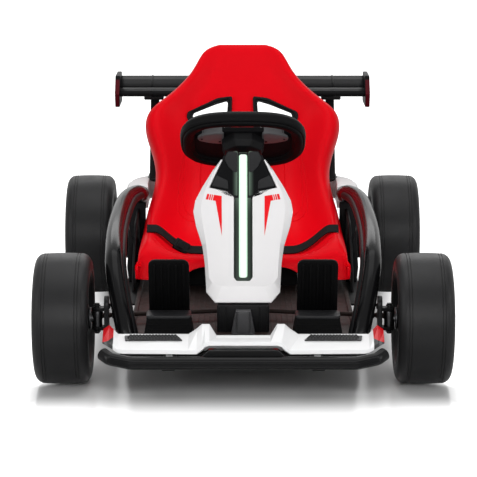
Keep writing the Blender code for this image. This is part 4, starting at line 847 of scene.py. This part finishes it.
def flowing(points, count=6):
    """A smooth route through the points."""
    knots = [Vector(point) for point in points]
    knots = [2 * knots[0] - knots[1]] + knots + [2 * knots[-1] - knots[-2]]
    route = []
    for a, b, c, d in zip(knots, knots[1:], knots[2:], knots[3:]):
        for step in range(count):
            t = step / count
            route.append(0.5 * (2 * b + (c - a) * t + (2 * a - 5 * b + 4 * c - d) * t * t + (3 * b - 3 * c
                + d - a) * t ** 3))
    return route + [knots[-2]]


seat_red = finish("satin red plastic with painted light", (0.68, 0.0013, 0.007), 0.38, marks=0.05, depth=0.14, specular=0.05)
# Painted light: the red is scaled from 1.3 times near the seat's foot to 0.92 times high up, painted light that
# brightens its lower front and dims its top
tree = seat_red.node_tree
base = tree.nodes["Principled BSDF"].inputs["Base Color"]
feed(base, scaled(tree, base.links[0].from_socket, eased(tree, spot_axes(tree)["Z"], 0.12, 0.32, 1.3, 0.92)))
rows = []
for index, (distance, height, lean, half, crest, edge) in enumerate(SEAT_SECTIONS):
    row = []
    for share, of_crest, of_edge, foot in SEAT_COLUMNS:
        rise = crest * of_crest + edge * of_edge
        angle = radians(lean)
        z = foot if index == len(SEAT_SECTIONS) - 1 else height + sin(angle) * rise
        row.append(Vector((share * half, aft(distance) - cos(angle) * rise, z)))
    rows.append([Vector((-p.x, p.y, p.z)) for p in reversed(row[1:])] + row)
seat = sheet_through("bucket_seat", rows)
only(seat)
form = seat.modifiers.new("Soft form", "SUBSURF")
form.levels = form.render_levels = 3
wall = seat.modifiers.new("Wall", "SOLIDIFY")
wall.thickness = SEAT_WALL
wall.offset = -1.0
settle(seat)
surface = surface_of(seat)
grooves = []
for line in SEAT_GROOVES:
    for _, side in SIDES:
        route = [seen_on(surface, (side * x, aft(y), z)) for x, y, z in flowing(line, 6)]
        grooves.append(pipe("groove", route, 0.0013, 2))
for groove in grooves:
    carve(seat, [groove])
slot_up = Vector((0, 0.032, 0.074)).normalized()
slot_place = placed((0, aft(0.714), 0.395), (1, 0, 0), slot_up, Vector((1, 0, 0)).cross(slot_up))
for _, side in SIDES:
    carve(seat, [slab("slot", rounded(sided(side, SLOT), 0.006), 0.09, slot_place, 0)])
settle(seat)
dress(seat, seat_red, "seat", "seat_shell")
for label, side in SIDES:
    middle = Vector((side * 0.064, -0.004))
    ring = []
    for inset in (-0.0015, 0.0058, 0.005, 0.0118):
        outline = []
        for corner in map(Vector, sided(side, SLOT)):
            outline.append(tuple(corner + (middle - corner).normalized() * inset))
        ring.append(rounded(outline, 0.006))
    trim = slab(f"slot_ring_{label}", ring[0], SEAT_WALL + 0.008, slot_place, 0)
    carve(trim, [slab("opening", ring[1], 0.05, slot_place, 0)])
    settle(soften(trim, 0.0014, 3, 40))
    lip = slab("lip", ring[2], SEAT_WALL + 0.001, slot_place, 0)
    carve(lip, [slab("opening", ring[3], 0.05, slot_place, 0)])
    join(trim, [settle(soften(lip, 0.0014, 3, 40))])
    dress(trim, case_black, "plastic", f"slot_trim_{label}")

# Lap belt: two lengths of black webbing that lie on the seat. The right one carries the buckle.
BELT_WIDTH, BELT_THICKNESS, BELT_AFT, BELT_LEAN = 0.024, 0.0022, 0.418, radians(26)
BELT_OUTER_END = 0.192
BUCKLE_X = -0.1235

webbing_weave, entry, leave = new_group("webbing weave", [("Scale", FLOAT, 520.0)], [("Height", FLOAT)])
where = add_node(webbing_weave, "TexCoord").outputs["Object"]
across, along = [add_node(webbing_weave, "TexWave", wave_type="BANDS", bands_direction=axis, Vector=where,
                          Scale=entry["Scale"]).outputs["Fac"] for axis in "XY"]
feed(leave["Height"], maths(webbing_weave, "MULTIPLY", across, along))

webbing = finish("belt webbing", (0.006, 0.006, 0.0065), 0.7, marks=0.15, depth=0.4, specular=0.1)
tree = webbing.node_tree
feed(tree.nodes["Bump"].inputs["Height"], add_node(tree, "Group", node_tree=webbing_weave, Scale=520))
surface = surface_of(seat)


def top_of(x, y):
    """The height of the seat under a place."""
    return surface.ray_cast(Vector((x, y, 0.4)), Vector((0, 0, -1)))[0].z


for label, side in SIDES:
    inner_end = 0.04 if side > 0 else 0.075
    rows = []
    for step in range(41):
        x = side * (inner_end + (BELT_OUTER_END - inner_end) * step / 40)
        foot = max(top_of(x + shift, aft(BELT_AFT)) for shift in (-0.008, -0.004, 0.0, 0.004, 0.008))
        row = []
        for share in (0.0, 0.08, 0.5, 0.92, 1.0):
            y = aft(BELT_AFT) + BELT_WIDTH * share * cos(BELT_LEAN)
            row.append(Vector((x, y, max(foot + BELT_WIDTH * share * sin(BELT_LEAN), top_of(x, y)) + 0.0015)))
        rows.append(row)
    strap = sheet_through(f"lap_strap_{label}", rows)
    only(strap)
    wall = strap.modifiers.new("Webbing", "SOLIDIFY")
    wall.thickness = BELT_THICKNESS
    wall.offset = 0.0
    settle(strap)
    dress(strap, webbing, "webbing", f"lap_belt_{label}")
buckle_place = at(BUCKLE_X, aft(BELT_AFT) + 0.01, top_of(BUCKLE_X, aft(BELT_AFT)) + 0.01)
buckle_place = buckle_place @ Matrix.Rotation(radians(30), 4, "Y") @ Matrix.Rotation(radians(48), 4, "X")
buckle = slab("belt_buckle", oblong(-0.016, -0.013, 0.016, 0.013, 0.004), 0.01, buckle_place, 0.0025, 3)
button = slab("button", oblong(-0.009, -0.008, 0.004, 0.008, 0.002), 0.004, buckle_place @ at(0, 0, 0.005))
dress(join(buckle, [button]), case_black, "plastic")

# Battery, side panels and rear deck: plain moulded plastic with rounded edges. Each side panel has a sill
# and a post beside the seat's foot; the deck is white and is notched round the backrest.
SILL = ((0.188, 0.24), (0.22, 0.24), (0.233, 0.34), (0.233, 0.52), (0.188, 0.52))
POST = ((0.208, 0.088), (0.229, 0.088), (0.233, 0.12), (0.23, 0.165), (0.229, 0.2), (0.218, 0.17),
        (0.208, 0.15))
battery = refined("battery_block", "battery_case", 0.002, 3)
for corner in battery.data.vertices:
    corner.co.x *= 1.09
dress(battery, case_black, "plastic", "battery_block")
for label, side in SIDES:
    panel = refined(f"side_panel_{label}", f"seat_side_panel_{label}", 0.0015, 3)
    sill = slab("sill", [(side * x, aft(y)) for x, y in SILL], 0.004, at(0, 0, 0.0885))
    post = slab("post", sided(side, POST), 0.01, to_nose(0.44), 0.0015)
    dress(join(panel, [sill, post]), case_black, "plastic", f"side_panel_{label}")
DECK_TOP, DECK_PAD, DECK_BOTTOM = 0.261, 0.245, 0.212
ALONG_X = Matrix(((0, 0, 1, 0), (1, 0, 0, 0), (0, 1, 0, 0), (0, 0, 0, 1)))
layers = []
for x, drop in ((-0.243, 0.015), (-0.238, 0.009), (-0.226, 0.004), (-0.206, 0.0), (0.206, 0.0), (0.226, 0.004),
                (0.238, 0.009), (0.243, 0.015)):
    layers.append(([(aft(0.6), DECK_BOTTOM), (aft(0.865), DECK_BOTTOM), (aft(0.865), DECK_PAD - 0.009 - drop),
                    (aft(0.808), DECK_PAD - drop), (aft(0.727), DECK_PAD - drop), (aft(0.685), DECK_TOP - drop),
                    (aft(0.61), DECK_TOP - drop), (aft(0.6), DECK_TOP - 0.005 - drop)], x))
deck = stacked("rear_body_deck", layers, ALONG_X, 0)
notch = oblong(-0.197, aft(0.58), 0.197, aft(0.73))
carve(deck, [slab("notch", rounded(notch, 0.03, 6), 0.2, at(0, 0, 0.24), 0)])
settle(soften(deck, 0.0035, 3, 24), angle=30)
dress(deck, white_gloss, "white", "rear_deck")

# Side guards: a bent gloss tube on each side, from the frame's outrigger up past the pedals and back to
# the deck. Its inner face is matt, and a dark red strip runs along it.
GUARD_LINE = ((0.205, -0.05, 0.0723), (0.2125, -0.042, 0.1066), (0.2245, -0.01, 0.155), (0.2341, 0.03, 0.2019),
              (0.2368, 0.07, 0.2263), (0.2398, 0.18, 0.247), (0.2376, 0.32, 0.259), (0.231, 0.44, 0.262),
              (0.216, 0.53, 0.256), (0.212, 0.57, 0.245), (0.211, 0.5997, 0.2425))
GUARD_RADIUS = 0.0165
tube_black = finish("gloss tube paint", (0.004, 0.004, 0.0044), 0.2, marks=0.08, grain=350, depth=0.05,
                    specular=0.1)
strip_red = finish("dark red strip", (0.06, 0.002, 0.005), 0.4, marks=0.08, grain=500, depth=0.1, specular=0.05)
for label, side in SIDES:
    route = flowing([(side * x, aft(y), z) for x, y, z in GUARD_LINE], 8)
    guard = pipe(f"side_guard_tube_{label}", route, GUARD_RADIUS, 8)
    dress(guard, tube_black, "tube", f"side_guard_{label}")
    strip, fin = [], []
    for before, here, after in zip(route[:-2], route[1:-1], route[2:]):
        along = (after - before).normalized()
        for line, inner, sunk in ((strip, Vector((-side, -0.2, 0.45)), 0.0048),
                                  (fin, Vector((-side, 0.2, -0.2)), 0.001)):
            inner = (inner - along * inner.dot(along)).normalized()
            line.append(here + inner * (GUARD_RADIUS - sunk))
    dress(pipe(f"guard_strip_{label}", strip[30:-8], 0.0052, 6), strip_red, "tube")
    dress(pipe(f"guard_inner_rail_{label}", fin[4:-18], 0.0075, 6), case_black, "plastic")

# Wing: a black main element and flap between two endplates, on two uprights screwed to the deck. Each
# endplate has a dark red strip down its front edge.
STAY_FOOT_X, BEAD_X, ENDPLATE_X, SPAN = 0.187, 0.197, 0.27, 0.2648
for label, side in SIDES:
    outline = [(aft(0.735), 0.2453), (aft(0.79), 0.2453), (aft(0.872), 0.412), (aft(0.838), 0.412)]
    stay = slab(f"wing_upright_{label}", outline, 0.018, at(side * 0.19, 0, 0) @ ALONG_X, 0.003, 3)
    parts = [slab("foot", oblong(-0.016, -0.036, 0.016, 0.036, 0.004), 0.006,
                  at(side * STAY_FOOT_X, aft(0.764), DECK_PAD + 0.0033), 0.0012),
             slab("clamp", oblong(-0.021, -0.028, 0.021, 0.028, 0.004), 0.008,
                  at(side * 0.192, aft(0.852), 0.4128), 0.0015)]
    for x in (-0.012, 0.012):
        for y in (0.733, 0.795):
            parts.append(hex_screw("screw", facing((side * STAY_FOOT_X + x, aft(y), DECK_PAD + 0.0063),
                                                   (0, 0, 1), (0, 1, 0)), 0.0026, 0.0022))
    dress(join(stay, parts), case_black, "plastic", f"wing_stay_{label}")
wing_black = finish("wing plastic", (0.006, 0.006, 0.0065), 0.32, grain=800, depth=0.18, specular=0.02)
profile = [(0.809, 0.4245), (0.8105, 0.4195), (0.816, 0.4168), (0.845, 0.416), (0.883, 0.4165), (0.8905, 0.421),
           (0.886, 0.4285), (0.86, 0.43), (0.83, 0.431), (0.815, 0.43)]
main = slab("wing_main_element", rounded([(aft(y), z) for y, z in profile], 0.003), 2 * SPAN, ALONG_X, 0.0005,
            2, 50)
beads = [slab("bead", [(aft(y) - 0.001, z) for y, z in profile], 0.008,
              at(side * BEAD_X, 0, 0) @ ALONG_X) for _, side in SIDES]
dress(join(main, beads), wing_black, "wing", "wing_main")
profile = [(0.8475, 0.4345), (0.8495, 0.432), (0.862, 0.4318), (0.885, 0.437), (0.9085, 0.4475), (0.912, 0.451),
           (0.905, 0.4525), (0.88, 0.4475), (0.86, 0.44)]
flap = slab("wing_upper_flap", rounded([(aft(y), z) for y, z in profile], 0.003), 2 * SPAN, ALONG_X, 0.0004, 2,
            50)
ribs = [slab("rib", [(aft(y) - 0.0022, z + 0.0012) for y, z in profile], 0.0032,
             at(side * BEAD_X, 0, 0) @ ALONG_X, 0.0006) for _, side in SIDES]
dress(join(flap, ribs), wing_black, "wing", "wing_flap")
for label, side in SIDES:
    place = at(side * ENDPLATE_X, 0, 0) @ ALONG_X
    outline = [(aft(y), z) for y, z in ((0.812, 0.3945), (0.911, 0.3945), (0.915, 0.3985), (0.915, 0.4605),
                                        (0.83, 0.4605), (0.8, 0.424))]
    plate = slab(f"wing_endplate_{label}", rounded(outline, 0.002), 0.01, place, 0.0016, 3)
    screws = []
    for y, z in ((0.835, 0.424), (0.87, 0.424), (0.89, 0.442)):
        screws.append(hex_screw("screw", facing((side * 0.2749, aft(y), z), (side, 0, 0)), 0.0028, 0.002))
    dress(join(plate, screws), wing_black, "wing", f"endplate_{label}")
    outline = [(aft(y), z) for y, z in ((0.7992, 0.424), (0.8112, 0.3955), (0.814, 0.3955), (0.802, 0.4235),
                                        (0.825, 0.452), (0.8225, 0.453))]
    dress(slab(f"endplate_strip_{label}", rounded(outline, 0.001), 0.0092, place, 0.0006), strip_red, "wing")

# Nose: a black bumper bar with two ridges and a filler above its middle, and over it a thin white panel
# with two humps, raised ends and dark honeycomb inserts. The rear bumper is a plain bent tube.
BUMPER_Y, BUMPER_Z = aft(-0.2035), 0.087


def bent(points, bend, count=6):
    """A route whose corners are bent round instead of sharp."""
    route = [Vector(points[0])]
    for before, corner, after in zip(points, points[1:], points[2:]):
        here = Vector(corner)
        start = here + (Vector(before) - here).normalized() * bend
        end = here + (Vector(after) - here).normalized() * bend
        for step in range(count + 1):
            share = step / count
            route.append(start * (1 - share) ** 2 + here * 2 * share * (1 - share) + end * share ** 2)
    return route + [Vector(points[-1])]


half = [(0.195, 0.0, 0.0), (0.232, 0.014, 0.004), (0.244, 0.028, 0.009)]
both = [(-x, back, up) for x, back, up in reversed(half)] + half
line = [(x, BUMPER_Y + back, BUMPER_Z + up) for x, back, up in both]
bar = pipe("front_bumper_bar", bent(line, 0.006), 0.0115, 10)
extras = []
for up in (0.0046, -0.0046):
    extras.append(pipe("ridge", bent([(x, y - 0.0096, z + up) for x, y, z in line], 0.006), 0.0024, 4))
for x in (-0.13, 0.13):
    extras.append(slab("tab", oblong(-0.011, 0, 0.011, 0.05, 0.002), 0.013, at(x, BUMPER_Y, 0.0795)))
filler = [(-0.083, 0.087), (0.083, 0.087), (0.06, 0.108), (-0.06, 0.108)]
extras.append(slab("filler", rounded(filler, 0.003), 0.02, at(0, BUMPER_Y + 0.014, 0) @ Matrix.Rotation(pi / 2,
    4, "X"), 0.002, 3))
dress(join(bar, extras), tube_black, "tube", "front_bumper")
ends_print = finish("white panel with striped ends", (0.73, 0.73, 0.735), 0.25, marks=0.03, grain=350,
                    depth=0.05, specular=0.35)
tree = ends_print.node_tree
base = tree.nodes["Principled BSDF"].inputs["Base Color"]
x, _, z = spot_axes(tree)
out = maths(tree, "ABSOLUTE", x)
stripe = maths(tree, "GREATER_THAN", maths(tree, "MULTIPLY_ADD", out, 0.35, z), 0.1998)
inks = add_node(tree, "Mix", data_type="RGBA", Factor=stripe, A=(0.012, 0.012, 0.012, 1),
                B=(0.45, 0.006, 0.01, 1))
laid = add_node(tree, "Mix", data_type="RGBA", Factor=maths(tree, "GREATER_THAN", out, 0.227),
                A=base.links[0].from_socket, B=inks.outputs["Result"])
feed(base, laid.outputs["Result"])
panel = refined("front_fascia", "nose_panel", 0.001, 3, 18)
dress(panel, ends_print, "white", "front_fascia")
mesh_grey = finish("grille plastic", (0.022, 0.022, 0.023), 0.45, marks=0.1, depth=0.2)
low, high = Vector((0, aft(-0.182), 0.1045)), Vector((0, aft(-0.14), 0.1183))
up = (high - low).normalized()
out = Vector((0, -up.z, up.y))
CELL = 0.003
CELL_RINGS = [(CELL, 0.0), (CELL, 0.003), (CELL * 0.78, 0.003), (CELL * 0.78, 0.0)]
place = placed(low + out * 0.0018, (1, 0, 0), up, out)
for label, side in SIDES:
    corners = sided(side, ((0.106, 0.029), (0.206, 0.029), (0.208, 0.044), (0.116, 0.044)))
    insert = slab(f"grille_insert_{label}", rounded(corners, 0.002), 0.0024, place, 0.0005)
    cells = []
    for line in range(3):
        for step in range(16):
            x = 0.1135 + step * CELL * 1.85 + (line % 2) * CELL * 0.92
            y = 0.0322 + line * CELL * 1.52
            if 0.1105 + (y - 0.029) * 0.67 < x < 0.203:
                spot = place @ at(side * x, y, 0.0005) @ Matrix.Rotation(pi / 6, 4, "Z")
                cells.append(turned("cell", CELL_RINGS, spot, 6, angle=20))
    dress(join(insert, cells), mesh_grey, "grille", f"grille_{label}")
gloss_black = finish("gloss black plastic", (0.006, 0.006, 0.0065), 0.22, marks=0.1, grain=350, depth=0.05,
                     specular=0.35)
REAR_Y = AXLE_Y["rear"] + 0.1313
line = [(-0.205, REAR_Y - 0.045, 0.072), (-0.185, REAR_Y, 0.066), (0.185, REAR_Y, 0.066),
        (0.205, REAR_Y - 0.045, 0.072)]
dress(pipe("rear_bumper_bar", bent(line, 0.025, 8), 0.011), gloss_black, "tube", "rear_bumper")
